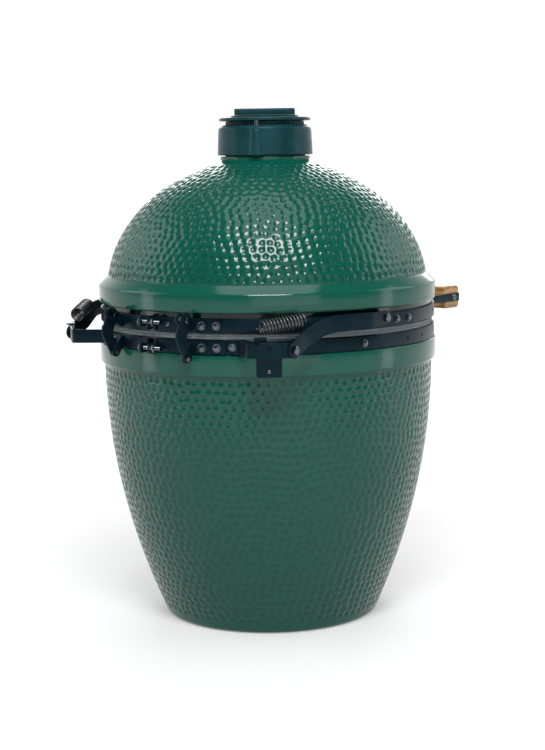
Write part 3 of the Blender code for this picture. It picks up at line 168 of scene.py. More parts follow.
def colour(name, description, default):
    """One colour that can be set in the panel."""
    return FloatVectorProperty(name=name, description=description, subtype="COLOR",
                               default=default, size=3, min=0.0, max=1.0)


class GrillSizes(bpy.types.PropertyGroup):
    """Sizes of the fine detail that the frame leaves open."""

    dimple_pitch: length("Dimple pitch", "Distance between neighbouring dimples",
                         0.0130, 0.006, 0.03)
    dimple_radius: length("Dimple radius", "Radius of one hollow in the glaze",
                          0.0060, 0.002, 0.012)
    dimple_depth: length("Dimple depth", "Depth of a hollow at its middle", 0.00170, 0.0, 0.003)
    cell: length("Skin cell", "Spacing of the points of the dimpled skins", 0.0026, 0.002, 0.02)
    coils: IntProperty(
        name="Spring coils", description="Turns of each lid spring", default=13, min=4, max=24)
    wire: length("Spring wire", "Thickness of the spring wire", 0.0028, 0.001, 0.004)


class GrillColours(bpy.types.PropertyGroup):
    """Colours of the finishes."""

    glaze: colour("Glaze", "Green of the glaze where it is thick", (0.0012, 0.048, 0.0320))
    glaze_thin: colour("Thin glaze", "Green of the glaze on the ridges", (0.0022, 0.064, 0.0430))
    steel: colour("Black steel", "Powder coat of the hinge and bands", (0.0015, 0.0060, 0.0100))
    cap: colour("Cap", "Coating of the cast vent cap", (0.0045, 0.026, 0.030))
    oak: colour("Oak", "Light wood of the grip", (0.42, 0.235, 0.085))
    oak_grain: colour("Oak grain", "Dark lines of the grip", (0.20, 0.105, 0.036))
    felt: colour("Felt", "Grey of the gaskets", (0.085, 0.112, 0.125))


# ---------------------------------------------------------------------------- shader writing

class Wire:
    """A number's socket that can be written into sums and products."""

    def __init__(self, tree, socket):
        self.tree = tree
        self.socket = socket

    def _maths(self, operation, *values):
        return self.tree.add("ShaderNodeMath", {"operation": operation}, dict(enumerate(values)))

    def __add__(self, other):
        return self._maths("ADD", self, other)

    def __radd__(self, other):
        return self._maths("ADD", other, self)

    def __sub__(self, other):
        return self._maths("SUBTRACT", self, other)

    def __rsub__(self, other):
        return self._maths("SUBTRACT", other, self)

    def __mul__(self, other):
        return self._maths("MULTIPLY", self, other)

    def __rmul__(self, other):
        return self._maths("MULTIPLY", other, self)


class Shader:
    """Node tree of one material, with its Principled shader and Object coordinates."""

    def __init__(self, name):
        self.material = bpy.data.materials.new(name)
        self.material.use_nodes = True
        self.nodes = self.material.node_tree.nodes
        self.links = self.material.node_tree.links
        self.surface = self.nodes["Principled BSDF"]

    def add(self, kind, settings, values, output=0):
        """Add a node, give it its settings first and then its sockets' values or links."""
        node = self.nodes.new(kind)
        for key, value in settings.items():
            if key == "stops":
                self._ramp(node, value)
            else:
                setattr(node, key, value)
        for key, value in values.items():
            self._feed(node.inputs[key], value)
        return Wire(self, node.outputs[output])

    def _ramp(self, node, stops):
        ramp = node.color_ramp
        while len(ramp.elements) < len(stops):
            ramp.elements.new(0.5)
        for element, (place, colour) in zip(ramp.elements, stops):
            element.position = place
            element.color = (*colour, 1.0) if isinstance(colour, tuple) else (colour,) * 3 + (1.0,)

    def _feed(self, socket, value):
        if isinstance(value, Wire):
            self.links.new(value.socket, socket)
        elif socket.type == "RGBA" and len(value) == 3:
            socket.default_value = (*value, 1.0)
        else:
            socket.default_value = value

    def set(self, **values):
        """Set or link the shader's own sockets; underscores stand for spaces."""
        for key, value in values.items():
            self._feed(self.surface.inputs[key.replace("_", " ")], value)

    def place(self, scale=(1.0, 1.0, 1.0), turn=(0.0, 0.0, 0.0), shift=(0.0, 0.0, 0.0)):
        coordinates = self.add("ShaderNodeTexCoord", {}, {}, "Object")
        return self.add("ShaderNodeMapping", {},
                        {"Vector": coordinates, "Scale": scale, "Rotation": turn,
                         "Location": shift})

    def noise(self, where, scale, detail=3.0, rough=0.5, distort=0.0):
        return self.add("ShaderNodeTexNoise", {},
                        {"Vector": where, "Scale": scale, "Detail": detail, "Roughness": rough,
                         "Distortion": distort})

    def ramp(self, value, *stops):
        return self.add("ShaderNodeValToRGB", {"stops": stops}, {"Fac": value})

    def between(self, value, start, end):
        """Spread a value of 0 to 1 over start to end."""
        return value * (end - start) + start

    def mix(self, factor, first, second, blend="MIX"):
        """Mix two colours; a Mix node's colour sockets are its seventh, eighth and third output."""
        return self.add("ShaderNodeMix", {"data_type": "RGBA", "blend_type": blend},
                        {0: factor, 6: first, 7: second}, 2)

    def bump(self, height, distance, strength=1.0, under=None):
        values = {"Height": height, "Distance": distance, "Strength": strength}
        if under is not None:
            values["Normal"] = under
        return self.add("ShaderNodeBump", {}, values)


def glaze_finish(colours):
    """Deep green glaze: pooled and darker in the dimples, thinner on the ridges, very glossy.
    In the band seats it is painted near black, as painted shade.
    """
    shader = Shader("deep_green_glaze")
    where = shader.place()
    hollow = shader.add("ShaderNodeAttribute", {"attribute_name": "hollow"}, {}, "Fac")
    cloud = shader.noise(where, 9.0, 4.0, 0.55)
    fleck = shader.noise(where, 420.0, 2.0, 0.6)
    thickness = shader.ramp(hollow * 0.75 + shader.between(cloud, -0.15, 0.3),
                            (0.05, 0.0), (0.85, 1.0))
    base = shader.mix(thickness, tuple(colours.glaze_thin), tuple(colours.glaze))
    # Painted shade: points marked 2 in the band seats under the beads turn near black, standing in
    # for the shadow the beads cast there.
    seat_shade = shader.ramp(hollow - 1.0, (0.1, 0.0), (0.9, 1.0))
    base = shader.mix(seat_shade, base, (0.0002, 0.008, 0.006))
    speck = shader.ramp(fleck, (0.62, 0.0), (0.72, 1.0))
    shader.set(Base_Color=shader.mix(speck * 0.10, base, (0.02, 0.16, 0.11)))
    smear = shader.noise(where, 36.0, 5.0, 0.6)
    shader.set(Roughness=shader.between(smear, 0.07, 0.20))
    shader.set(Normal=shader.bump(shader.noise(where, 150.0, 3.0, 0.5), 0.0002, 0.5))
    shader.set(IOR=1.5, Coat_Weight=0.05, Coat_Roughness=0.04, Specular_IOR_Level=0.30)
    return shader.material


def bare_ceramic_finish():
    """Unglazed fired clay: warm, speckled and matt."""
    shader = Shader("bare_ceramic")
    where = shader.place()
    cloud = shader.noise(where, 14.0, 5.0, 0.6)
    speck = shader.ramp(shader.noise(where, 520.0, 2.0, 0.7), (0.60, 0.0), (0.70, 1.0))
    base = shader.ramp(cloud, (0.3, (0.47, 0.40, 0.31)), (0.7, (0.62, 0.55, 0.45)))
    shader.set(Base_Color=shader.mix(speck * 0.55, base, (0.26, 0.20, 0.15)))
    shader.set(Roughness=shader.between(cloud, 0.78, 0.95))
    grain = shader.noise(where, 300.0, 4.0, 0.7)
    shader.set(Normal=shader.bump(grain, 0.0006, 0.7))
    return shader.material


def coated_finish(name, colour, rough, grain, size):
    """Powder coat: dark and half glossy with an orange-peel surface and faint rubbed patches."""
    shader = Shader(name)
    where = shader.place()
    patch = shader.noise(where, 22.0, 5.0, 0.6)
    lighter = tuple(value * 1.8 + 0.001 for value in colour)
    shader.set(Base_Color=shader.mix(shader.ramp(patch, (0.42, 0.0), (0.78, 1.0)),
                                     tuple(colour), lighter))
    shader.set(Roughness=shader.between(patch, rough - 0.07, rough + 0.11))
    peel = shader.noise(where, size, 3.0, 0.55)
    shader.set(Normal=shader.bump(peel, grain, 0.6))
    shader.set(Specular_IOR_Level=0.20, Specular_Tint=(0.30, 0.62, 0.74), Coat_Weight=0.02,
               Coat_Roughness=0.12)
    return shader.material


def metal_finish(name, colour, rough, scratch, stretch=(1.0, 1.0, 1.0)):
    """Bare or plated metal: cloudy tone and fine scratches along one direction."""
    shader = Shader(name)
    where = shader.place()
    cloud = shader.noise(where, 60.0, 4.0, 0.6)
    darker = tuple(value * 0.82 for value in colour)
    shader.set(Base_Color=shader.mix(shader.ramp(cloud, (0.35, 0.0), (0.7, 1.0)), darker,
                                     tuple(colour)))
    lines = shader.noise(shader.place(stretch), scratch, 3.0, 0.7)
    shader.set(Roughness=shader.between(lines, rough - 0.08, rough + 0.14))
    shader.set(Normal=shader.bump(lines, 0.0001, 0.35))
    shader.set(Metallic=1.0)
    return shader.material


def felt_finish(colours):
    """Pressed felt: tangled fibres over a soft mottled grey."""
    shader = Shader("grey_felt")
    where = shader.place()
    fibre = shader.noise(where, 900.0, 6.0, 0.8, 1.5)
    tuft = shader.noise(where, 120.0, 4.0, 0.6)
    light = tuple(min(value * 1.9, 1.0) for value in colours.felt)
    dark = tuple(value * 0.55 for value in colours.felt)
    tangle = shader.ramp(fibre * 0.6 + tuft * 0.4, (0.34, 0.0), (0.66, 1.0))
    shader.set(Base_Color=shader.mix(tangle, dark, light))
    shader.set(Roughness=shader.between(tuft, 0.88, 1.0))
    shader.set(Normal=shader.bump(fibre, 0.0009, 0.9))
    shader.set(Sheen_Weight=0.35, Sheen_Roughness=0.6, Specular_IOR_Level=0.2)
    return shader.material


def oak_finish(colours):
    """Oiled oak: long grain along X with darker growth lines, pores and a soft gloss."""
    shader = Shader("oiled_oak")
    along = shader.place((0.9, 14.0, 14.0))
    waver = shader.noise(along, 5.0, 5.0, 0.6, 0.8)
    rings = shader.add("ShaderNodeTexWave", {"wave_type": "BANDS", "bands_direction": "Z"},
                       {"Vector": along, "Scale": 2.2, "Distortion": 7.0, "Detail": 3.0,
                        "Detail Scale": 0.8, "Detail Roughness": 0.6})
    pores = shader.noise(shader.place((22.0, 700.0, 700.0)), 1.0, 2.0, 0.6)
    line = shader.ramp(rings * 0.55 + waver * 0.45, (0.30, 0.0), (0.62, 1.0))
    wood = shader.mix(line, tuple(colours.oak_grain), tuple(colours.oak))
    pore = shader.ramp(pores, (0.60, 0.0), (0.70, 1.0))
    shader.set(Base_Color=shader.mix(pore * 0.55, wood, (0.16, 0.07, 0.022)))
    shader.set(Roughness=shader.between(waver, 0.36, 0.58))
    shader.set(Normal=shader.bump(pore * -1.0 + line * 0.4, 0.0002, 0.6))
    shader.set(Coat_Weight=0.15, Coat_Roughness=0.3)
    return shader.material


def dial_finish(name, colour):
    """Satin enamel with a faint print grain."""
    shader = Shader(name)
    where = shader.place()
    cloud = shader.noise(where, 45.0, 3.0, 0.5)
    darker = tuple(value * 0.82 for value in colour)
    shader.set(Base_Color=shader.mix(cloud, tuple(colour), darker))
    shader.set(Roughness=shader.between(cloud, 0.30, 0.48))
    shader.set(Normal=shader.bump(shader.noise(where, 800.0, 2.0), 0.00005, 0.4))
    return shader.material


def glass_finish():
    """Clear lens with faint smudges."""
    shader = Shader("lens_glass")
    smudge = shader.noise(shader.place(), 90.0, 5.0, 0.7)
    shader.set(Base_Color=(0.95, 0.98, 0.98), IOR=1.45, Transmission_Weight=1.0)
    shader.set(Roughness=shader.between(smudge, 0.0, 0.07))
    return shader.material


def studio_finish():
    """Matt studio floor with a barely visible paper grain.
    It also glows as painted light, faintly near the grill and full white far out.
    """
    shader = Shader("studio_paper")
    cloud = shader.noise(shader.place(), 2.0, 4.0, 0.6)
    shader.set(Base_Color=shader.mix(cloud, (0.50, 0.50, 0.50), (0.54, 0.54, 0.54)))
    shader.set(Roughness=shader.between(cloud, 0.75, 0.85))
    # Painted light: the floor glows by itself, weaker near the grill and full far out.
    spread = shader.add("ShaderNodeVectorMath", {"operation": "LENGTH"}, {0: shader.place()}, 1)
    floor_glow = shader.ramp(spread * 0.2, (0.16, 0.34), (0.60, 1.0))
    shader.set(Emission_Color=floor_glow, Emission_Strength=1.0)
    return shader.material


FINISHES = {}


def write_finishes(colours):
    """Write every finish once, under its own key."""
    FINISHES.update({
        "glaze": glaze_finish(colours),
        "clay": bare_ceramic_finish(),
        "steel": coated_finish("black_powder_coat", colours.steel, 0.34, 0.00018, 700.0),
        "cap": coated_finish("cast_cap_coating", colours.cap, 0.30, 0.0004, 430.0),
        "iron": coated_finish("seasoned_iron", (0.012, 0.011, 0.010), 0.62, 0.0009, 260.0),
        "spring": metal_finish("spring_wire", (0.10, 0.105, 0.11), 0.30, 240.0),
        "zinc": metal_finish("plated_bolts", (0.12, 0.14, 0.155), 0.16, 500.0),
        "stainless": metal_finish("brushed_stainless", (0.58, 0.58, 0.57), 0.27, 260.0,
                                  (1.0, 1.0, 9.0)),
        "felt": felt_finish(colours),
        "oak": oak_finish(colours),
        "dial": dial_finish("dial_enamel", (0.82, 0.82, 0.79)),
        "ink": dial_finish("dial_ink", (0.015, 0.015, 0.017)),
        "needle": dial_finish("needle_red", (0.55, 0.03, 0.018)),
        "glass": glass_finish(),
    })


# ---------------------------------------------------------------------------- shapes

class Shape:
    """Points (n, 3), four-cornered faces (k, 4) and flat end faces as lists of point numbers."""

    def __init__(self, points, quads, ends=()):
        self.points = np.asarray(points, float).reshape(-1, 3)
        self.quads = np.asarray(quads, int).reshape(-1, 4)
        self.ends = [np.asarray(end, int) for end in ends]

    def moved(self, matrix):
        matrix = np.array(matrix)
        points = self.points @ matrix[:3, :3].T + matrix[:3, 3]
        return Shape(points, self.quads, self.ends)


def together(shapes):
    """Several shapes as one: each one's point numbers follow on from those before it."""
    start = np.cumsum([0] + [len(shape.points) for shape in shapes])
    return Shape(np.concatenate([shape.points for shape in shapes]),
                 np.concatenate([shape.quads + s for shape, s in zip(shapes, start)]),
                 [end + s for shape, s in zip(shapes, start) for end in shape.ends])


def grid(points, close_rows=False, close_columns=False, cap_rows=False):
    """Faces between neighbouring points of a (rows, columns, 3) array.

    close_rows joins the last row to the first, close_columns the last column to the first, and
    cap_rows puts a flat face on the first and the last row.
    """
    rows, columns = points.shape[:2]
    index = np.arange(rows * columns).reshape(rows, columns)
    if close_rows:
        index = np.vstack([index, index[:1]])
    if close_columns:
        index = np.hstack([index, index[:, :1]])
    quads = np.stack([index[:-1, :-1], index[:-1, 1:], index[1:, 1:], index[1:, :-1]], axis=-1)
    ends = [index[0, :columns][::-1], index[-1, :columns]] if cap_rows else []
    return Shape(points.reshape(-1, 3), quads.reshape(-1, 4), ends)


def turned(profile, columns=64, start=0.0, sweep=math.tau, place=None):
    """Turn a closed (radius, height) outline about Z: a point at plan angle a is
    (-radius sin a, radius cos a, height). A part turn gets flat ends."""
    profile = np.asarray(profile, float)
    whole = abs(sweep - math.tau) < 1e-6
    angle = start + sweep * np.arange(columns + (not whole)) / columns
    radius = profile[None, :, 0]
    points = np.stack([-radius * np.sin(angle)[:, None], radius * np.cos(angle)[:, None],
                       np.broadcast_to(profile[None, :, 1], (len(angle), len(profile)))], axis=-1)
    shape = grid(points, whole, True, not whole)
    return shape if place is None else shape.moved(place)


def swept(path, section, up=(0.0, 0.0, 1.0), closed=False):
    """Carry a closed section along a path: a point is path + across * normal + rise * up, where
    the normal is square to the path's direction and to up. section is (points, 2) for every
    station, or (stations, points, 2) where it changes along the way. The normal is lengthened at
    a corner by one over the cosine of half the turn, as a mitre is."""
    path = np.asarray(path, float)
    up = np.broadcast_to(np.asarray(up, float), path.shape)
    step = np.diff(np.vstack([path, path[:1]]) if closed else path, axis=0)
    step /= np.linalg.norm(step, axis=1)[:, None]
    if closed:
        into, out = np.roll(step, 1, axis=0), step
    else:
        into, out = np.vstack([step[:1], step]), np.vstack([step, step[-1:]])
    along = into + out
    along /= np.linalg.norm(along, axis=1)[:, None]
    normal = np.cross(along, up)
    normal /= np.linalg.norm(normal, axis=1)[:, None]
    rise = np.cross(normal, along)
    mitre = 1.0 / np.clip((along * out).sum(1), 0.4, 1.0)
    section = np.asarray(section, float)
    if section.ndim == 2:
        section = np.broadcast_to(section, (len(path), *section.shape))
    points = (path[:, None] + section[:, :, :1] * (normal * mitre[:, None])[:, None]
              + section[:, :, 1:] * rise[:, None])
    return grid(points, closed, True, not closed)


def plate(outline, bottom, top, place=None, edge=EDGE):
    """A flat plate: its outline stands from bottom to top, drawn in by edge - sqrt(edge^2 - t^2)
    along the outline's own normals near both faces, which rounds the edges."""
    outline = np.asarray(outline, float)
    step = np.roll(outline, -1, axis=0) - outline
    area = (outline[:, 0] * np.roll(outline[:, 1], -1)
            - np.roll(outline[:, 0], -1) * outline[:, 1]).sum()
    if area < 0:
        outline = outline[::-1]
        step = np.roll(outline, -1, axis=0) - outline
    step /= np.maximum(np.linalg.norm(step, axis=1), 1e-9)[:, None]
    normal = np.stack([step[:, 1], -step[:, 0]], axis=1)
    normal = normal + np.roll(normal, 1, axis=0)
    normal /= np.maximum(np.linalg.norm(normal, axis=1), 1e-9)[:, None]
    turn = np.linspace(0.0, math.pi / 2, 4)
    inset = edge * (1.0 - np.sin(turn))
    level = edge * (1.0 - np.cos(turn))
    insets = np.concatenate([inset, inset[::-1]])
    levels = np.concatenate([bottom + level, top - level[::-1]])
    flat = outline[None] - insets[:, None, None] * normal[None]
    points = np.concatenate([flat, np.broadcast_to(levels[:, None, None], (*flat.shape[:2], 1))],
                            axis=2)
    shape = grid(points, False, True, True)
    return shape if place is None else shape.moved(place)


def belt(circles, count=96):
    """Outline of a belt pulled round circles (centre, radius): for every direction it touches the
    circle whose support, centre . direction + radius, is largest."""
    angle = np.linspace(0.0, math.tau, count, endpoint=False)
    ways = np.stack([np.cos(angle), np.sin(angle)], axis=1)
    centres = np.array([centre for centre, _ in circles], float)
    radii = np.array([radius for _, radius in circles], float)
    chosen = (ways @ centres.T + radii).argmax(axis=1)
    return centres[chosen] + ways * radii[chosen][:, None]


def bar(thick, height, edge=EDGE, bottom=None):
    """Closed section of a flat bar with rounded corners; bottom is its lower edge, or its middle
    is at zero."""
    turn = np.linspace(0.0, math.pi / 2, 4)
    corner = np.stack([np.cos(turn), np.sin(turn)], axis=1) * edge
    half, tall = thick / 2 - edge, height / 2 - edge
    parts = [corner + (half, tall), corner[::-1] * (-1, 1) + (-half, tall),
             corner * (-1, -1) + (-half, -tall), corner[::-1] * (1, -1) + (half, -tall)]
    section = np.concatenate(parts)
    if bottom is not None:
        section[:, 1] += bottom + height / 2
    return section


def ring_section(radius, count=10):
    angle = np.linspace(0.0, math.tau, count, endpoint=False)
    return np.stack([np.cos(angle), np.sin(angle)], axis=1) * radius


def plan(radius, angles, height=0.0, side=-1):
    """Points at plan angles on a circle; side -1 is towards -X and 1 towards +X."""
    angles = np.asarray(angles, float)
    return np.stack([side * radius * np.sin(angles), radius * np.cos(angles),
                     np.full_like(angles, height)], axis=1)


def aim(origin, direction, spin=0.0):
    """Matrix that puts Z along a direction at an origin, turned about it by spin."""
    direction = Vector(direction).normalized()
    turn = Vector((0, 0, 1)).rotation_difference(direction).to_matrix().to_4x4()
    return Matrix.Translation(origin) @ turn @ Matrix.Rotation(spin, 4, "Z")


def side_view(x=0.0):
    """Matrix for a plate drawn in the side view: its outline's axes are Y and Z, its third is X."""
    return Matrix(((0, 0, 1, x), (1, 0, 0, 0), (0, 1, 0, 0), (0, 0, 0, 1)))


def front_view():
    """Matrix for a plate drawn in the front view: its outline's axes are X and Z, its third is Y."""
    return Matrix(((1, 0, 0, 0), (0, 0, 1, 0), (0, 1, 0, 0), (0, 0, 0, 1)))


def arc_points(centre, radius, start, end, steps):
    angle = np.linspace(start, end, steps + 1)
    return np.stack([centre[0] + radius * np.cos(angle), centre[1] + radius * np.sin(angle)], 1)


def curve(start, corner, end, count):
    """Quadratic curve from start to end, pulled towards a corner."""
    share = np.linspace(0.0, 1.0, count)[:, None]
    return (1 - share) ** 2 * start + 2 * share * (1 - share) * corner + share ** 2 * end


def rod(radius, start, end, columns, place=None):
    """Plain round rod about Z from start to end."""
    return turned([(0.0, start), (radius, start), (radius, end), (0.0, end)], columns, place=place)


def hexagon_head(radius, thick, base=0.0):
    """Six-sided head: the flats are cut by a cone of 30 degrees, so its corners are rounded off."""
    chamfer = radius * 0.12
    return turned([(0.0, base), (radius - chamfer * 0.3, base), (radius, base + chamfer * 0.3),
                   (radius, base + thick - chamfer * 0.6), (radius - chamfer, base + thick),
                   (0.0, base + thick)], 6)


def washer(radius, bore, thick, base=0.0):
    return turned([(bore, base), (radius, base), (radius, base + thick), (bore, base + thick)], 28)


def thread(radius, start, end, pitch=0.0010):
    """Threaded rod: its radius goes down and up by a sixth of the pitch once in every pitch."""
    count = max(int(round((end - start) / pitch)) * 2, 4)
    heights = np.linspace(start, end, count + 1)
    radii = radius - pitch / 6 + pitch / 6 * np.cos(np.arange(count + 1) * math.pi)
    profile = [(0.0, start), *zip(radii, heights), (0.0, end)]
    return turned(profile, 14)


def bolt(origin, direction, radius, thick, tail=0.0, spin=0.0, ring=True):
    """Hexagon bolt seen from outside: washer, head and, behind or through it, a threaded tail."""
    pieces = [hexagon_head(radius, thick, 0.0009 if ring else 0.0)]
    if ring:
        pieces.append(washer(radius * 1.28, radius * 0.3, 0.0009))
    if tail:
        pieces.append(thread(radius * 0.52, thick, thick + tail))
    return together(pieces).moved(aim(origin, direction, spin))


def rivet(origin, direction, radius, rise):
    """Round rivet head: a low dome, radius falling with the cosine of its height."""
    angle = np.linspace(0.0, math.pi / 2, 7)
    profile = [(0.0, 0.0), *zip(radius * np.cos(angle), rise * np.sin(angle))]
    return turned(profile, 20).moved(aim(origin, direction))


# ---------------------------------------------------------------------------- making pieces

def make_mesh(name, shape, closed=True, smooth=38.0):
    mesh = bpy.data.meshes.new(name)
    loops = np.concatenate([shape.quads.reshape(-1), *shape.ends]).astype(np.int32)
    totals = np.concatenate([np.full(len(shape.quads), 4), [len(end) for end in shape.ends]])
    starts = np.concatenate([[0], np.cumsum(totals)[:-1]]).astype(np.int32)
    mesh.vertices.add(len(shape.points))
    mesh.vertices.foreach_set("co", shape.points.astype(np.float32).reshape(-1))
    mesh.loops.add(len(loops))
    mesh.loops.foreach_set("vertex_index", loops)
    mesh.polygons.add(len(totals))
    mesh.polygons.foreach_set("loop_start", starts)
    mesh.update(calc_edges=True)
    mesh.validate()
    if closed:
        edit = bmesh.new()
        edit.from_mesh(mesh)
        bmesh.ops.remove_doubles(edit, verts=edit.verts, dist=1e-6)
        bmesh.ops.recalc_face_normals(edit, faces=edit.faces)
        edit.to_mesh(mesh)
        edit.free()
    mesh.shade_smooth()
    mesh.set_sharp_from_angle(angle=math.radians(smooth))
    return mesh


def add_object(name, data):
    """New object in the scene for a mesh, a light or a camera."""
    item = bpy.data.objects.new(name, data)
    bpy.context.scene.collection.objects.link(item)
    return item


def piece(name, shapes, finish, body, nodes=(), smooth=38.0):
    """Make one object from shapes, give it a finish, let it ride its body, unless it has none,
    and let it stand for its nodes."""
    shape = together(shapes) if isinstance(shapes, list) else shapes
    item = add_object(name, make_mesh(name, shape, True, smooth))
    item.data.materials.append(FINISHES[finish])
    settle(item, body, nodes)
    return item


def settle(item, body, nodes=()):
    if body:
        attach(item, body)
    if nodes:
        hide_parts(*nodes)


def paint_seat_shade(item, start, end):
    """Mark the points between two heights with a hollow of 2, where the glaze is painted near black
    as painted shade in a band seat.
    """
    height = np.empty(len(item.data.vertices) * 3, np.float32)
    item.data.vertices.foreach_get("co", height)
    height = height[2::3]
    tone = item.data.attributes.new("hollow", "FLOAT", "POINT")
    inside = (height > start) & (height < end)
    tone.data.foreach_set("value", np.where(inside, 2.0, 0.0).astype(np.float32))


def bore(item, cutters):
    """Cut closed shapes out of an object for good: a Boolean's result replaces its mesh."""
    cutter = add_object("cutter", make_mesh("cutter", together(cutters)))
    step = item.modifiers.new("bore", "BOOLEAN")
    step.operation = "DIFFERENCE"
    step.solver = "EXACT"
    step.object = cutter
    graph = bpy.context.evaluated_depsgraph_get()
    mesh = bpy.data.meshes.new_from_object(item.evaluated_get(graph))
    item.modifiers.clear()
    item.data = mesh
    bpy.data.objects.remove(cutter)
    mesh.shade_smooth()
    mesh.set_sharp_from_angle(angle=math.radians(38.0))


def carry_over(finish, *nodes):
    """CAD nodes whose shape is right keep it and get one of the finishes."""
    for node in nodes:
        mesh = NODES[node].data
        mesh.materials.clear()
        mesh.materials.append(FINISHES[finish])


# ---------------------------------------------------------------------------- ceramic

def belly(height):
    """Outer radius of the base: a parabola from the foot to the band seat."""
    share = 1.0 - np.minimum(height, BASE_LIP[0]) / BASE_LIP[0]
    return BELLY - (BELLY - FOOT_RADIUS) * share * share


def dome_radius(height, inset=0.0):
    """Radius of the dome's ellipse: half width times sqrt(1 - share of the half height squared)."""
    share = (np.asarray(height) - DOME_CENTRE) / (DOME_HALF[1] - inset)
    return (DOME_HALF[0] - inset) * np.sqrt(np.clip(1.0 - share * share, 0.0, 1.0))


def even_profile(profile, spacing):
    """The same curve with points at even distances along it, and those distances."""
    profile = np.asarray(profile, float)
    length = np.concatenate([[0.0], np.cumsum(np.linalg.norm(np.diff(profile, axis=0), axis=1))])
    count = int(round(length[-1] / spacing))
    along = np.linspace(0.0, length[-1], count + 1)
    even = np.stack([np.interp(along, length, profile[:, k]) for k in (0, 1)], axis=1)
    return even, along


def dimple_field(along, radius, angle, first, last, sizes, seed):
    """Hollow of every skin point, 0 on the ridges to 1 in the middle of a dimple.

    Dimples stand in rings 0.87 of the pitch apart, and a sum of three sines of the angle makes the
    rings wander up and down. A ring holds as many as fit at the pitch and is turned at random, and
    each dimple is moved a little and has its own radius. A point's hollow is the largest of
    (1 - (distance / radius)^2)^1.4 over the nearest dimples of its own ring and the two beside it.
    """
    rng = np.random.RandomState(seed)
    rings = int((last - first) / (sizes.dimple_pitch * 0.87)) + 1
    middle = np.linspace(first, last, rings)
    ring_radius = np.interp(middle, along, radius)
    count = np.maximum(np.round(math.tau * ring_radius / sizes.dimple_pitch), 6).astype(int)
    phase = np.where(np.arange(rings) % 2, 0.5, 0.0) + rng.uniform(-0.2, 0.2, rings)
    jitter = rng.normal(0.0, 0.075 * sizes.dimple_pitch, (rings, count.max(), 2))
    size = rng.uniform(0.84, 1.08, (rings, count.max())) * sizes.dimple_radius
    wander = sizes.dimple_pitch * (0.45 * np.sin(3 * angle + 0.7) + 0.35 * np.sin(7 * angle + 2.1)
                                   + 0.25 * np.sin(17 * angle))
    fade = np.sin(math.pi * (along - first) / (last - first))
    height = along[:, None] + wander[None] * fade[:, None]
    own = np.rint((height - first) / (last - first) * (rings - 1)).astype(int)
    hollow = np.zeros(height.shape)
    for beside in (-1, 0, 1):
        ring = np.clip(own + beside, 0, rings - 1)
        number = count[ring]
        turn = angle[None] / math.tau * number - phase[ring]
        place = np.rint(turn).astype(int) % number
        shift = jitter[ring, place]
        sideways = (turn - np.rint(turn)) * math.tau / number * radius[:, None] - shift[..., 0]
        upwards = height - middle[ring] - shift[..., 1]
        share = np.clip(np.hypot(sideways, upwards) / size[ring, place], 0.0, 1.0)
        hollow = np.maximum(hollow, (1.0 - share * share) ** 1.4)
    return hollow


def dimpled_skin(name, profile, margins, sizes, columns, seed, body, nodes):
    """Glazed skin: every point of an even profile moves in along the profile's own normal by the
    depth times its hollow. The back of the skin closes it a wall's thickness inside."""
    front, along = even_profile(profile, sizes.cell)
    slope = np.gradient(front, axis=0)
    slope /= np.linalg.norm(slope, axis=1)[:, None]
    normal = np.stack([slope[:, 1], -slope[:, 0]], axis=1)
    angle = np.arange(columns) * math.tau / columns
    hollow = dimple_field(along, front[:, 0], angle, margins[0], along[-1] - margins[1], sizes, seed)
    back = (front - normal * SKIN)[::-1][:: max(len(front) // 10, 1)]
    depth = sizes.dimple_depth * hollow
    radius = front[:, :1] - normal[:, :1] * depth
    height = front[:, 1:] - normal[:, 1:] * depth
    radius = np.vstack([radius, np.repeat(back[:, :1], columns, axis=1)])
    height = np.vstack([height, np.repeat(back[:, 1:], columns, axis=1)])
    points = np.stack([-radius * np.sin(angle), radius * np.cos(angle), height], axis=-1)
    shape = grid(points, True, True)
    mesh = make_mesh(name, shape, False, 60.0)
    mesh.flip_normals()
    tone = mesh.attributes.new("hollow", "FLOAT", "POINT")
    values = np.concatenate([hollow.reshape(-1), np.zeros(len(back) * columns)])
    tone.data.foreach_set("value", values.astype(np.float32))
    item = add_object(name, mesh)
    mesh.materials.append(FINISHES["glaze"])
    settle(item, body, nodes)
    return item


def draft_cutter(margin=0.0):
    """Box through the front wall of the base, as wide as the frame's own opening."""
    opening_low, opening_high = 0.034 - margin, 0.086 + margin
    half = belly(0.060) * math.sin(math.radians(13.0)) + margin
    outline = [(-half, opening_low), (half, opening_low), (half, opening_high),
               (-half, opening_high)]
    return plate(outline, -0.30, -0.10, front_view(), 1e-5)


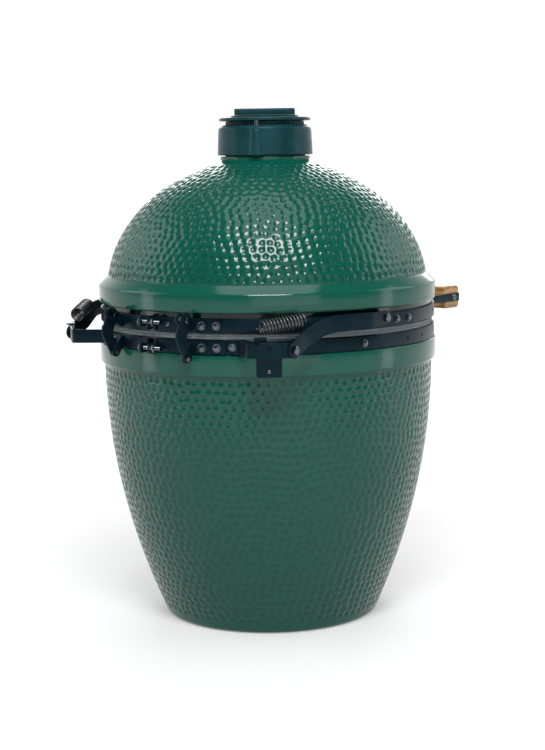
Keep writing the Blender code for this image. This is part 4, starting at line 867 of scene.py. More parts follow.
class GRILL_OT_base(bpy.types.Operator):
    """Dimpled base, its smooth bead and the bare wall inside"""

    bl_idname = "grill.base"
    bl_label = "Ceramic base"

    def execute(self, context):
        sizes = context.scene.grill_sizes
        foot = arc_points((FOOT_RADIUS - FOOT_ROUND * 0.6, FOOT_ROUND), FOOT_ROUND,
                          -math.pi / 2, -math.radians(22), 10)
        heights = np.linspace(FOOT_ROUND * 1.3, BASE_LIP[0] + TUCK, 200)
        wall = np.stack([belly(heights), heights], axis=1)
        start = [(FOOT_RADIUS - 0.030, 0.0)]
        skin = dimpled_skin("base_dimpled", np.concatenate([start, foot, wall]), (0.052, 0.011),
                            sizes, 600, 7, "base", ("base_shell",))
        bore(skin, [draft_cutter(0.0002)])
        rim = rounded([(BELLY - 0.010, BASE_LIP[0] - 0.004), (BELLY - 0.0006, BASE_LIP[0] - 0.004),
                       (BELLY + 0.0008, BASE_LIP[0]), (LIP_RADIUS, BASE_LIP[0]),
                       (LIP_RADIUS, BASE_LIP[1]), (BELLY, BASE_LIP[1]), (BELLY, RIM),
                       (BELLY - 0.010, RIM)],
                      (0, 0.0004, 0.0008, LIP_ROUND, LIP_ROUND, 0.0010, 0.0012, 0))
        bead = piece("base_bead", turned(rim, 192), "glaze", "base")
        # Painted shade on the band seat above the base bead.
        paint_seat_shade(bead, BASE_LIP[1] + 0.0002, 1.0)
        outer_heights = np.linspace(BASE_LIP[0] - 0.002, 0.004, 24)
        outer = [(BELLY - 0.010 - TUCK, RIM - 0.0002)]
        outer += [(belly(z) - SKIN + 0.0006, z) for z in outer_heights]
        outer += [(FOOT_RADIUS - 0.022, 0.0006), (0.0, 0.0006)]
        inner_heights = np.linspace(FLOOR + 0.020, BASE_LIP[0], 24)
        cove = arc_points((belly(FLOOR) - WALL - 0.012, FLOOR + 0.012), 0.012,
                          -math.pi / 2, 0.0, 8)
        inner = [(0.0, FLOOR), *cove, *[(belly(z) - WALL, z) for z in inner_heights],
                 (BELLY - WALL, RIM - 0.0002)]
        clay = piece("base_clay", turned(outer[::-1] + inner[::-1], 128), "clay", "base")
        bore(clay, [draft_cutter()])
        return {"FINISHED"}


def rounded(points, radii):
    """A closed outline whose corners are rounded: each corner becomes the quadratic curve from a
    radius before it to a radius after it."""
    points = [Vector(point) for point in points]
    out = []
    for index, (corner, radius) in enumerate(zip(points, radii)):
        before, after = points[index - 1], points[(index + 1) % len(points)]
        if radius <= 0:
            out.append(np.array([corner]))
            continue
        reach = min(radius, (before - corner).length * 0.49, (after - corner).length * 0.49)
        start = np.array(corner + (before - corner).normalized() * reach)
        end = np.array(corner + (after - corner).normalized() * reach)
        out.append(curve(start, np.array(corner), end, 6))
    return np.concatenate(out)


class GRILL_OT_dome(bpy.types.Operator):
    """Dimpled dome, its smooth bead, neck ring, chimney and the bare wall inside"""

    bl_idname = "grill.dome"
    bl_label = "Ceramic dome"

    def execute(self, context):
        sizes = context.scene.grill_sizes
        ring_low = RING_TOP - 0.005
        top = ring_low - 0.0155
        start = math.asin((DOME_LIP[1] + DOME_BEVEL - DOME_CENTRE) / DOME_HALF[1])
        end = math.asin((top - DOME_CENTRE) / DOME_HALF[1])
        turn = np.linspace(start, end, 160)
        heights = DOME_CENTRE + DOME_HALF[1] * np.sin(turn)
        crown = np.stack([dome_radius(heights), heights], axis=1)
        ring = np.array([RING_RADIUS, ring_low])
        bend = np.array([RING_RADIUS + 0.0090, ring_low - 0.0060])
        flare = curve(crown[-1], bend, ring, 30)[1:]
        below = [(crown[0, 0] - 0.0010, crown[0, 1] - TUCK)]
        dimpled_skin("dome_dimpled", np.concatenate([below, crown, flare]), (0.009, 0.024),
                     sizes, 680, 11, "dome", ("dome_shell",))
        bevel = (dome_radius(DOME_LIP[1] + DOME_BEVEL) + 0.0003, DOME_LIP[1] + DOME_BEVEL)
        rim = rounded([(BELLY - 0.009, SEAM_TOP), (BELLY, SEAM_TOP), (BELLY, DOME_LIP[0]),
                       (LIP_RADIUS, DOME_LIP[0]), (LIP_RADIUS, DOME_LIP[1]), bevel,
                       (BELLY - 0.0125, bevel[1] + 0.0005)],
                      (0, 0.0010, 0.0010, LIP_ROUND, 0.0030, 0.0012, 0))
        bead = piece("dome_bead", turned(rim, 192), "glaze", "dome")
        # Painted shade on the band seat under the dome bead.
        paint_seat_shade(bead, 0.0, DOME_LIP[0] - 0.0002)
        neck = rounded([(NECK_RADIUS - 0.004, ring_low - 0.006),
                        (RING_RADIUS - 0.003, ring_low - 0.004),
                        (RING_RADIUS + 0.0004, ring_low), (RING_RADIUS, RING_TOP),
                        (NECK_RADIUS, RING_TOP), (NECK_RADIUS, CHIMNEY_TOP),
                        (THROAT_RADIUS, CHIMNEY_TOP), (THROAT_RADIUS, RING_TOP - 0.032)],
                       (0, 0, 0.0008, 0.0014, 0.001, 0.003, 0.003, 0))
        piece("dome_neck", turned(neck, 128), "glaze", "dome")
        outer = [(dome_radius(z, SKIN - 0.0006), z)
                 for z in np.linspace(bevel[1], top - SKIN, 30)]
        outer = [(BELLY - 0.009 - TUCK, SEAM_TOP + 0.0002),
                 (BELLY - 0.013, bevel[1] - 0.002)] + outer
        outer += [(RING_RADIUS + 0.002, ring_low - 0.0075), (NECK_RADIUS - 0.006, ring_low - 0.006)]
        inner_turn = np.linspace(1.02, 0.0, 24)
        inner_heights = DOME_CENTRE + (DOME_HALF[1] - DOME_WALL) * np.sin(inner_turn)
        inner = [(THROAT_RADIUS + 0.0005, ring_low - 0.006),
                 (THROAT_RADIUS + 0.0005, RING_TOP - 0.0405)]
        inner += [(dome_radius(z, DOME_WALL), z) for z in inner_heights]
        inner += [(BELLY - WALL - 0.0015, SEAM_TOP + 0.0002)]
        piece("dome_clay", turned(outer + inner, 128), "clay", "dome")
        return {"FINISHED"}


class GRILL_OT_felt(bpy.types.Operator):
    """Felt rings at the seam and round the chimney"""

    bl_idname = "grill.felt"
    bl_label = "Felt gaskets"

    def execute(self, context):
        for node, body in (("lower_gasket", "base"), ("upper_gasket", "dome"),
                           ("chimney_gasket", "dome")):
            bottom, top = low(node).z, high(node).z
            outer = high(node).x
            inner = NECK_RADIUS + 0.0003 if node == "chimney_gasket" else outer - 0.027
            ring = rounded([(inner, bottom), (outer, bottom), (outer, top), (inner, top)],
                           (0.0004, 0.0012, 0.0012, 0.0004))
            piece(node + "_felt", fuzz(turned(ring, 240)), "felt", body, (node,))
        return {"FINISHED"}


def fuzz(shape):
    """Uneven felt: the radius shrinks by up to 0.35 mm with three sines of the plan angle."""
    points = shape.points.copy()
    angle = np.arctan2(points[:, 0], points[:, 1])
    radius = np.hypot(points[:, 0], points[:, 1])
    wave = (np.sin(23 * angle) + np.sin(61 * angle + 1.3) + np.sin(113 * angle + 0.4)) / 3
    inner = radius < radius.mean()
    shrink = np.where(inner, 0.0, 0.00018 * (1.0 + wave))
    points[:, :2] *= ((radius - shrink) / radius)[:, None]
    return Shape(points, shape.quads, shape.ends)


# ---------------------------------------------------------------------------- bands and hinge

def ear_span(node):
    """Heights of a band's ears: low on the lower band and high on the upper one."""
    bottom, top = low(node).z, high(node).z
    return (bottom, bottom + EAR_HEIGHT) if node == "lower_band" else (top - EAR_HEIGHT, top)


def band_shape(node):
    """Split band: a bar swept round the belly that turns out into two ears at the back. Near the
    ears its section is lower, as their box in the frame says."""
    bottom, top = low(node).z, high(node).z
    middle = BAND_OUTER - BAND_THICK / 2
    split = math.asin(0.0081 / middle)
    ear = EAR_TIP - 0.0003
    angles = np.linspace(split, math.tau - split, 181)
    around = plan(middle, angles, 0.0, 1)
    root = np.array([[0.0081, middle * math.cos(split) + 0.004, 0.0]])
    tip = np.array([[0.0081, ear, 0.0]])
    path = np.concatenate([tip, root + (0, 0.0015, 0), root, around, root * (-1, 1, 1),
                           (root + (0, 0.0015, 0)) * (-1, 1, 1), tip * (-1, 1, 1)])
    section = np.repeat(bar(BAND_THICK, top - bottom, EDGE, bottom)[None], len(path), axis=0)
    ear_low, ear_high = ear_span(node)
    small = bar(BAND_THICK, ear_high - ear_low, EDGE, ear_low)
    for index in (0, 1, len(path) - 2, len(path) - 1):
        section[index] = small
    return swept(path, section)


def clamp_shapes(node):
    """Clamp bolt through both ears: a head on one side, nut, washer and thread on the other."""
    ear_low, ear_high = ear_span(node)
    at = Vector((0.0, BAND_OUTER - BAND_THICK / 2 + 0.0118, (ear_low + ear_high) / 2))
    face = 0.0100
    right = at + Vector((face, 0, 0))
    left = at - Vector((face, 0, 0))
    head = [bolt(right, (1, 0, 0), 0.0060, 0.0042, 0.0, 0.3)]
    nut = [hexagon_head(0.0062, 0.0046, 0.0009).moved(aim(left, (-1, 0, 0), 0.2)),
           washer(0.0066, 0.0032, 0.0009).moved(aim(left, (-1, 0, 0)))]
    rod = [thread(0.0031, -0.0270, face).moved(aim(at, (1, 0, 0)))]
    return head + rod, nut


class GRILL_OT_bands(bpy.types.Operator):
    """The two split bands with their clamp bolts and the rivets on the upper one"""

    bl_idname = "grill.bands"
    bl_label = "Bands"

    def execute(self, context):
        for node, body in (("lower_band", "base"), ("upper_band", "dome")):
            band = piece(node + "_steel", band_shape(node), "steel", body, (node,))
            if body == "base":
                bore(band, [band_hole(side * angle, sum(LOWER_BAND) / 2)
                            for side in (-1, 1) for angle in np.radians([93.0, 103.0])])
            head, nut = clamp_shapes(node)
            piece(node + "_clamp_bolt", head, "zinc", body, (node + "_bolt",))
            piece(node + "_clamp_nut", nut, "zinc", body, (node + "_nut",))
        angles = np.radians([6.5, -6.5, 60.0, 66.0, -60.0, -66.0, 118.0, -118.0])
        middle = sum(UPPER_BAND) / 2
        heads = [rivet(Vector((-BAND_OUTER * math.sin(a), BAND_OUTER * math.cos(a), middle)),
                       (-math.sin(a), math.cos(a), 0.0), 0.0032, 0.0014) for a in angles]
        piece("band_rivets", heads, "zinc", "dome")
        heads = bolts_round(-1, BAND_OUTER, sum(LOWER_BAND) / 2, np.radians([72.7, -72.7]),
                            (0.0042, 0.0026))
        piece("band_screws", heads, "zinc", "base")
        return {"FINISHED"}


def band_hole(angle, height):
    """Round cutter through the band at a plan angle."""
    out = outward(angle, -1)
    at = out * (BAND_OUTER - 0.0020) + Vector((0, 0, height))
    return rod(0.0022, 0.0, 0.01, 20, aim(at, out))


def bent_bar(radius, angles, height, middle, side):
    """Flat bar that follows the band at plan angles."""
    return swept(plan(radius, angles, middle, side), bar(SHEET, height))


def outward(angle, side):
    return Vector((side * math.sin(angle), math.cos(angle), 0.0))


def bolts_round(side, radius, height, angles, head, ring=True):
    """Hexagon bolts of one head's radius and thickness that stand out from a circle at plan
    angles, each turned by its own angle."""
    return [bolt(outward(a, side) * radius + Vector((0, 0, height)), outward(a, side), *head,
                 0.0, a, ring) for a in angles]


def pivot_pin(side, at, inside, outside, head, spin, nut=None):
    """Pin at a (Y, Z) place between two distances from the centre plane: a head outside, a plain
    shaft and, where its radius and thickness are given, a nut inside."""
    inner = Vector((side * inside, *at))
    shapes = [bolt(Vector((side * outside, *at)), (side, 0, 0), *head, 0.0, spin, False)]
    if nut:
        shapes.append(hexagon_head(*nut).moved(aim(inner, (-side, 0, 0))))
    shapes.append(rod(PIN_RADIUS, 0.0, outside - inside, 20, aim(inner, (side, 0, 0))))
    return shapes


def hinge_bracket(node, side, lug_circles):
    """Curved plate on the band with a lug standing out backwards, and two bolts on the plate."""
    middle = SEAT + SHEET / 2
    lug_x = 0.0685
    start = math.asin((lug_x + 0.0010) / middle)
    end = math.radians(27.0)
    band_low, band_high = LOWER_BAND if node.startswith("lower") else UPPER_BAND
    tall = 0.0185
    centre = (band_low + band_high) / 2
    shapes = [bent_bar(middle, np.linspace(start, end, 12), tall, centre, side)]
    root_y = math.sqrt(middle ** 2 - lug_x ** 2) + 0.0006
    roots = [((root_y, centre + tall / 2 - 0.003), 0.002),
             ((root_y, centre - tall / 2 + 0.003), 0.002)]
    shapes.append(plate(belt(roots + lug_circles), -LUG_THICK / 2, LUG_THICK / 2,
                        side_view(side * (lug_x + LUG_THICK / 2))))
    bolts = bolts_round(side, middle + SHEET / 2, centre, np.radians([19.3, 24.2]),
                        (0.0048, 0.0032))
    return shapes, bolts


class GRILL_OT_hinge(bpy.types.Operator):
    """Brackets, links, bowed straps, anchors, arms and their pivots on both sides"""

    bl_idname = "grill.hinge"
    bl_label = "Hinge"

    def execute(self, context):
        for side, word in SIDES:
            self.brackets(side, word)
            self.links(side, word)
            self.strap(side, word)
            self.arm(side, word)
        self.tab()
        return {"FINISHED"}

    def brackets(self, side, word):
        pivot = (LINK_PIVOT.y, LINK_PIVOT.z)
        shapes, bolts = hinge_bracket("lower_bracket_" + word, side, [(pivot, 0.0075)])
        piece("hinge_lower_bracket_" + word, shapes, "steel", "base", ("lower_bracket_" + word,))
        piece("hinge_lower_bolts_" + word, bolts, "zinc", "base")
        first = link_top()
        last = (first[0] + SLOT_TRAVEL * math.cos(SLOT_TILT),
                first[1] + SLOT_TRAVEL * math.sin(SLOT_TILT))
        shapes, bolts = hinge_bracket("upper_bracket_" + word, side,
                                      [(first, 0.0085), (last, 0.0085)])
        item = piece("hinge_upper_bracket_" + word, shapes, "steel", "dome",
                     ("upper_bracket_" + word,))
        slot = plate(belt([(first, 0.0035), (last, 0.0035)]), -0.01, 0.01,
                     side_view(side * 0.0702), 1e-5)
        bore(item, [slot])
        piece("hinge_upper_bolts_" + word, bolts, "zinc", "dome")

    def links(self, side, word):
        node = "link_" + word
        x = (low(node).x + high(node).x) / 2
        top, foot = link_top(), (LINK_PIVOT.y, LINK_PIVOT.z)
        bulge = (top[0] + 0.0065, (top[1] + foot[1]) / 2 + 0.004)
        outline = belt([(top, 0.0105), (bulge, 0.0145), (foot, 0.0070)], 120)
        item = piece("hinge_link_" + word, plate(outline, -SHEET / 2, SHEET / 2, side_view(x)),
                     "steel", "links", (node,))
        scoop = (foot[0] + 0.0018 - 0.0175, (top[1] + foot[1]) / 2 + 0.001)
        bore(item, [plate(belt([(scoop, 0.0175)], 64), -0.01, 0.01, side_view(x), 1e-5)])
        for at, name, body in ((foot, "link_foot_pin_", "base"), (top, "link_top_pin_", "links")):
            shapes = pivot_pin(side, at, 0.0679, abs(x) + SHEET / 2 + PLAY, (0.0062, 0.0030), 0.4,
                               (0.0046, 0.0034))
            piece("hinge_" + name + word, shapes, "zinc", body, (name + word,))

    def strap(self, side, word):
        """The strap's plan: an arc on the band, a smooth step out to the bow, the bow's arc, a
        straight run along its tangent and a flange that turns forward."""
        inner = SEAT + SHEET / 2
        angles = np.radians(np.linspace(28.0, 41.0, 34))
        share = np.clip((np.degrees(angles) - 30.5) / 5.0, 0.0, 1.0)
        radius = inner + (STRAP_BOW - inner) * share * share * (3 - 2 * share)
        bow = np.stack([side * radius * np.sin(angles), radius * np.cos(angles)], axis=1)
        end = strap_end(side)
        run = end + np.array([side * -math.cos(STRAP_TURNS), math.sin(STRAP_TURNS)]) * 0.004
        corner = curve(run, end, end - np.array([0.0, 0.004]), 6)
        last = np.array([[end[0], end[1] - 0.0177]])
        path = np.concatenate([bow, corner, last])
        path = np.column_stack([path, np.full(len(path), ARM_PIVOT.z)])
        shapes = [swept(path, bar(SHEET, 0.0206))]
        piece("hinge_strap_" + word, shapes, "steel", "base", ("spring_strap_" + word,))
        foot = outward(math.radians(29.2), side)
        at = foot * (inner + SHEET / 2) + Vector((0, 0, ARM_PIVOT.z))
        piece("hinge_strap_bolt_" + word, [bolt(at, foot, 0.0042, 0.0030, 0.0015, 0.3)], "zinc",
              "base")
        bolt_in = abs(end[0]) - SHEET / 2 - PLAY
        bolt_out = abs(end[0]) + SHEET * 1.5 + 2 * PLAY
        shapes = pivot_pin(side, (ARM_PIVOT.y, ARM_PIVOT.z), bolt_in, bolt_out, (0.0066, 0.0036),
                           0.5, (0.0046, 0.0038))
        piece("hinge_arm_pivot_" + word, shapes, "zinc", "base", ("arm_pivot_bolt_" + word,))
        carry_over("steel", "spring_anchor_" + word)

    def arm(self, side, word):
        """The arm's middle line runs from its pivot over the knee to the dome's pivot. Its half
        width follows the radii at those three, and falls as a half circle past both ends."""
        back, front = np.array((ARM_PIVOT.y, ARM_PIVOT.z)), np.array((DOME_PIVOT.y, DOME_PIVOT.z))
        knee = back + (-0.060, 0.0312)
        radii = (0.0115, 0.0122, 0.0100)
        before = knee + (back - knee) / np.linalg.norm(back - knee) * 0.014
        after = knee + (front - knee) / np.linalg.norm(front - knee) * 0.014
        bend = curve(before, knee, after, 9)
        turn = np.linspace(math.pi / 2, 0.06, 9)
        start_way = (back - knee) / np.linalg.norm(back - knee)
        end_way = (front - knee) / np.linalg.norm(front - knee)
        start = back + start_way * (radii[0] * np.sin(turn))[:, None]
        finish = front + end_way * (radii[2] * np.sin(turn[::-1]))[:, None]
        forward = np.linspace(after, front, 16)[1:]
        line = np.concatenate([start, np.linspace(back, before, 6)[:-1], bend, forward, finish])
        half = np.concatenate([radii[0] * np.cos(turn), np.linspace(radii[0], radii[1], 5),
                               np.full(9, radii[1]), np.linspace(radii[1], radii[2], 15),
                               radii[2] * np.cos(turn[::-1])])
        x = side * arm_out(line[:, 0])
        path = np.column_stack([x, line])
        step = np.gradient(path, axis=0)
        flat = np.cross(step, (1.0, 0.0, 0.0))
        flat /= np.linalg.norm(flat, axis=1)[:, None]
        section = np.repeat(bar(SHEET, 2 * radii[1])[None], len(path), axis=0)
        tall = section[:, :, 1] / radii[1] * half[:, None]
        section = np.stack([section[:, :, 0], tall], axis=2)
        piece("hinge_arm_" + word, swept(path, section, flat), "steel", "arms", ("arm_" + word,))
        stud = "dome_pivot_stud_" + word
        outer = abs(arm_out(np.array([DOME_PIVOT.y]))[0]) + SHEET / 2
        inner = min(abs(low(stud).x), abs(high(stud).x))
        shapes = pivot_pin(side, (DOME_PIVOT.y, DOME_PIVOT.z), inner, outer + PLAY,
                           (0.0064, 0.0030), 0.2)
        piece("hinge_dome_pivot_" + word, shapes, "zinc", "dome", (stud,))
        middle = SEAT + SHEET / 2
        mount = "arm_mount_" + word
        centre = (low(mount).z + high(mount).z) / 2
        shapes = [bent_bar(middle, np.radians(np.linspace(76.5, 95.0, 16)), 0.0165, centre, side)]
        piece("hinge_mount_" + word, shapes, "steel", "dome", (mount,))
        heads = bolts_round(side, middle + SHEET / 2, centre, np.radians([86.0, 92.0]),
                            (0.0044, 0.0028))
        piece("hinge_mount_bolts_" + word, heads, "zinc", "dome")

    def tab(self):
        """Hanger tab: a sheet that steps inwards below the strap, with a round hole above the step
        and a rivet below it. It is a ring of points from the hole to the edge, front and back."""
        angle = math.radians(40.5)
        along, out = Vector((-math.cos(angle), -math.sin(angle), 0)), outward(angle, -1)
        node = "hanger_tab"
        bottom, top = low(node).z, high(node).z
        half = 0.018
        near = STRAP_BOW + SHEET + PLAY
        hole = np.array([0.0, top - 0.010])
        way = np.linspace(0.0, math.tau, 96, endpoint=False)
        ways = np.stack([np.cos(way), np.sin(way)], axis=1)
        reach = np.minimum(half / np.maximum(np.abs(ways[:, 0]), 1e-9),
                           np.where(ways[:, 1] > 0, top - hole[1], hole[1] - bottom)
                           / np.maximum(np.abs(ways[:, 1]), 1e-9))
        clipped = ((half + top - hole[1] - 0.008)
                   / np.maximum(np.abs(ways[:, 0]) + ways[:, 1], 1e-9))
        reach = np.where(ways[:, 1] > 0, np.minimum(reach, clipped), reach)
        share = np.concatenate([[0.0, 0.02], np.linspace(0.06, 1.0, 26)])
        radius = 0.0030 + (reach[None] - 0.0030) * share[:, None]
        flat = hole + ways[None] * radius[..., None]
        step = np.clip((RIM - 0.0215 - flat[..., 1]) / 0.005, 0.0, 1.0)
        depth = near - 0.005 * step
        front = np.stack([flat[..., 0], depth + SHEET / 2, flat[..., 1]], axis=-1)
        back = np.stack([flat[..., 0], depth - SHEET / 2, flat[..., 1]], axis=-1)[::-1]
        local = np.concatenate([front, back])
        turn = np.array([along, out, (0, 0, 1)])
        piece("hinge_tab", grid(local @ turn, True, True), "steel", "base", (node,), 25.0)
        at = out * (near - 0.005 + SHEET / 2) + Vector((0, 0, bottom + 0.008))
        piece("hinge_tab_rivet", [rivet(at, out, 0.0030, 0.0016)], "zinc", "base")


def link_top():
    """Pivot at the top of the links, from the middle of its pin's box."""
    bottom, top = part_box("link_top_pin_left")
    return ((bottom.y + top.y) / 2, (bottom.z + top.z) / 2)


def strap_end(side):
    """Plan point where the strap turns into its flange."""
    x = STRAP_BOW * math.sin(STRAP_TURNS) + STRAP_RUN * math.cos(STRAP_TURNS)
    y = STRAP_BOW * math.cos(STRAP_TURNS) - STRAP_RUN * math.sin(STRAP_TURNS)
    return np.array([side * x, y])


def arm_out(y):
    """Distance of the arm's middle from the centre plane: it moves out between its two bends."""
    inner = strap_end(1)[0] + SHEET + PLAY
    outer = SEAT + SHEET
    bend_back, bend_front = ARM_PIVOT.y - 0.028, DOME_PIVOT.y + 0.032
    share = np.clip((bend_back - y) / (bend_back - bend_front), 0.0, 1.0)
    return inner + (outer - inner) * share


class GRILL_OT_springs(bpy.types.Operator):
    """Close-wound lid springs with a hook at each end"""

    bl_idname = "grill.springs"
    bl_label = "Lid springs"

    def execute(self, context):
        sizes = context.scene.grill_sizes
        for side, word in SIDES:
            self.spring(side, word, sizes)
        return {"FINISHED"}

    def spring(self, side, word, sizes):
        """Middle line of the wire: a point at angle a is on the axis plus radius (cos a, sin a);
        the radius falls to nothing over the hooks, which run on along the axis."""
        anchor = math.radians(38.3)
        foot = outward(anchor, side) * (STRAP_BOW - 0.0086)
        start = np.array((foot.x, foot.y, RIM + 0.0215))
        end = np.array((side * (strap_end(1)[0] + SHEET / 2 + PLAY - 0.0041),
                        ARM_PIVOT.y - 0.028, ARM_PIVOT.z + 0.0397))
        axis = end - start
        length = np.linalg.norm(axis)
        axis /= length
        normal = np.cross(axis, (0.0, 0.0, 1.0))
        normal /= np.linalg.norm(normal)
        other = np.cross(axis, normal)
        radius = 0.0108 - sizes.wire / 2
        turns = np.linspace(0.0, math.tau * sizes.coils, sizes.coils * 20)
        share = turns / turns[-1]
        body = (start + axis * (length * share)[:, None]
                + radius * (np.cos(turns)[:, None] * normal + np.sin(turns)[:, None] * other))
        hook_turn = np.linspace(0.0, 1.0, 10)[1:, None]
        first = start - axis * 0.0060
        last = end + axis * 0.0045
        lead = body[0] * (1 - hook_turn[::-1]) + first * hook_turn[::-1]
        lead -= axis * (0.002 * np.sin(math.pi * hook_turn[::-1]))
        trail = body[-1] * (1 - hook_turn) + last * hook_turn
        path = np.concatenate([lead, body, trail])
        up = np.broadcast_to(axis, path.shape)
        shape = swept(path, ring_section(sizes.wire / 2, 8), up)
        item = piece("lid_spring_" + word, shape, "spring", None, ("spring_" + word,), 80.0)
        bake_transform(item)


# ---------------------------------------------------------------------------- handle

class GRILL_OT_handle(bpy.types.Operator):
    """Oak grip on two flat steel bars"""

    bl_idname = "grill.handle"
    bl_label = "Handle"

    def execute(self, context):
        first, last = GRIP
        centre = ((first.y + last.y) / 2, (first.z + last.z) / 2)
        deep, tall = last.y - first.y, last.z - first.z
        x = last.x
        run = np.concatenate([-x + 0.003 * (1 - np.cos(np.linspace(0, math.pi / 2, 7))),
                              np.linspace(-x + 0.01, x - 0.01, 30),
                              x - 0.003 * (1 - np.cos(np.linspace(math.pi / 2, 0, 7)))])
        inset = np.concatenate([0.003 * (1 - np.sin(np.linspace(0, math.pi / 2, 7))),
                                np.zeros(30),
                                0.003 * (1 - np.sin(np.linspace(math.pi / 2, 0, 7)))])
        outline = rounded([(-0.5, -0.5), (0.5, -0.5), (0.5, 0.5), (-0.5, 0.5)], (0.2,) * 4)
        waist = 0.98 - 0.02 * np.cos(run / x * math.pi)[:, None]
        width = (outline[None, :, 0] * (deep - 2 * inset)[:, None]) * waist
        rise = (outline[None, :, 1] * (tall - 2 * inset)[:, None]) * waist
        points = np.stack([np.broadcast_to(run[:, None], width.shape), centre[0] + width,
                           centre[1] + rise], axis=-1)
        piece("handle_oak", grid(points, False, True, True), "oak", "dome", ("handle_grip",), 50.0)
        for side, word in SIDES:
            self.bar(side, word, x, centre)
        return {"FINISHED"}

    def bar(self, side, word, x, centre):
        """Bar: an arc on the band, a rounded corner and a straight run along the grip's end."""
        thick, tall = 0.0040, 0.0130
        inner = SEAT + thick / 2
        end = x + 0.0003 + thick / 2
        foot = math.asin(end / inner)
        angles = np.linspace(math.pi - foot + 0.0313 / inner, math.pi - foot + 0.010, 14)
        arc = plan(inner, angles, 0.0, side)[:, :2]
        corner = np.array([side * end, -inner * math.cos(foot)])
        front = np.array([[side * end, low("handle_bracket_" + word).y + 0.0002]])
        bend = curve(arc[-1], corner, corner - (0.0, 0.005), 7)
        path = np.concatenate([arc, bend[1:], front])
        path = np.column_stack([path, np.full(len(path), sum(UPPER_BAND) / 2)])
        piece("handle_bar_" + word, swept(path, bar(thick, tall)), "steel", "dome",
              ("handle_bracket_" + word,))
        at = Vector((side * (end + thick / 2 + 0.0002), centre[0], centre[1]))
        piece("handle_bolt_" + word, [rivet(at, (side, 0, 0), 0.0056, 0.0024)], "zinc", "dome",
              ("handle_screw_" + word,))
        places = math.pi - foot + np.array([0.022, 0.012]) / inner
        heads = bolts_round(side, inner + thick / 2, sum(UPPER_BAND) / 2, places,
                            (0.0036, 0.0022), False)
        piece("handle_foot_bolts_" + word, heads, "zinc", "dome")


# ---------------------------------------------------------------------------- cap

class GRILL_OT_cap(bpy.types.Operator):
    """Collar with its pivot boss, swinging plate, turning disc and ridge"""

    bl_idname = "grill.cap"
    bl_label = "Vent cap"

    def execute(self, context):
        outer = rounded([(NECK_RADIUS + 0.0042, COLLAR_LOW), (COLLAR_RADIUS, COLLAR_LOW),
                         (COLLAR_RADIUS - 0.0017, COLLAR_TOP - 0.005),
                         (COLLAR_RADIUS - 0.0067, COLLAR_TOP), (NECK_RADIUS, COLLAR_TOP),
                         (NECK_RADIUS, NECK_TOP), (THROAT_RADIUS, NECK_TOP),
                         (THROAT_RADIUS, RING_TOP + 0.037),
                         (NECK_RADIUS + 0.0037, RING_TOP + 0.037),
                         (NECK_RADIUS + 0.0037, COLLAR_LOW + 0.0005)],
                        (0.0003, 0.0022, 0.0016, 0.0016, 0.0008, 0.0006, 0.0006, 0, 0, 0.0002))
        body = turned(outer, 144)
        nub, top = COLLAR_LOW - 0.0055, COLLAR_TOP - 0.0062
        boss = rounded([(0.0, nub), (0.0062, nub), (0.0088, COLLAR_LOW - 0.0008),
                        (0.0140, COLLAR_LOW), (0.0140, COLLAR_LOW + 0.0030), (0.0106, top),
                        (0.0, top + 0.0010)], (0, 0.0035, 0.0008, 0.0014, 0.0060, 0.0035, 0))
        boss_shape = turned(boss, 40, place=Matrix.Translation((CAP_PIVOT.x, CAP_PIVOT.y, 0)))
        piece("cap_body", [body], "cap", "dome", ("cap_collar",))
        lug = piece("cap_boss", [boss_shape], "cap", "dome")
        bore(lug, [rod(RING_RADIUS + 0.0014, RING_TOP - 0.02, COLLAR_TOP + 0.01, 96)])
        teeth = [plate([(-0.0012, 0.0), (0.0012, 0.0), (0.0012, 0.0045), (-0.0012, 0.0045)],
                       NECK_RADIUS - 0.0006, NECK_RADIUS + 0.0007,
                       tooth_place(math.tau * n / TEETH, COLLAR_TOP + 0.0004), 0.0002)
                 for n in range(TEETH)]
        piece("cap_neck_teeth", teeth, "cap", "dome")
        self.plate()
        self.disc()
        return {"FINISHED"}

    def plate(self):
        bottom, top = NECK_TOP + 0.0006, PLATE_HIGH - PLAY
        disc = rounded([(0.0, bottom), (PLATE_RADIUS, bottom), (PLATE_RADIUS, top), (0.0, top)],
                       (0, 0.0018, 0.0018, 0))
        item = piece("cap_swing_plate", [turned(disc, 128)], "cap", "cap", ("cap_plate",))
        bore(item, [vent(RIDGE_ANGLE + math.tau * n / VENTS, bottom) for n in range(VENTS)])
        place = Matrix.Translation((CAP_PIVOT.x, CAP_PIVOT.y, 0))
        stub = rod(0.0035, low("cap_plate").z, bottom + 0.001, 24, place)
        piece("cap_swing_pin", [stub], "zinc", "cap")

    def disc(self):
        bottom = PLATE_HIGH
        top = bottom + 0.0030
        outline = rounded([(0.0, bottom), (DISC_RADIUS, bottom), (DISC_RADIUS, top), (0.0, top)],
                          (0, 0.0005, 0.0012, 0))
        item = piece("cap_disc", [turned(outline, 128)], "cap", "damper", ("damper_disc",))
        shut = RIDGE_ANGLE + math.pi / VENTS
        bore(item, [vent(shut + math.tau * n / VENTS, bottom) for n in range(VENTS)])
        half, width = 0.047 - 0.0075, 0.0075
        stadium = belt([((-half, 0.0), width), ((half, 0.0), width)], 72)
        ridge = plate(stadium, top - 0.0008, CAP_TOP - 0.0002,
                      Matrix.Rotation(RIDGE_ANGLE, 4, "Z"), 0.0022)
        piece("cap_ridge", [ridge], "cap", "damper")


def tooth_place(angle, height):
    """Matrix that stands a small plate on the neck: its outline is tangent and up, its third axis
    points outwards."""
    along = Vector((-math.cos(angle), -math.sin(angle), 0))
    out = Vector((-math.sin(angle), math.cos(angle), 0))
    matrix = Matrix((along, Vector((0, 0, 1)), out)).transposed().to_4x4()
    matrix.translation = Vector((0, 0, height))
    return matrix


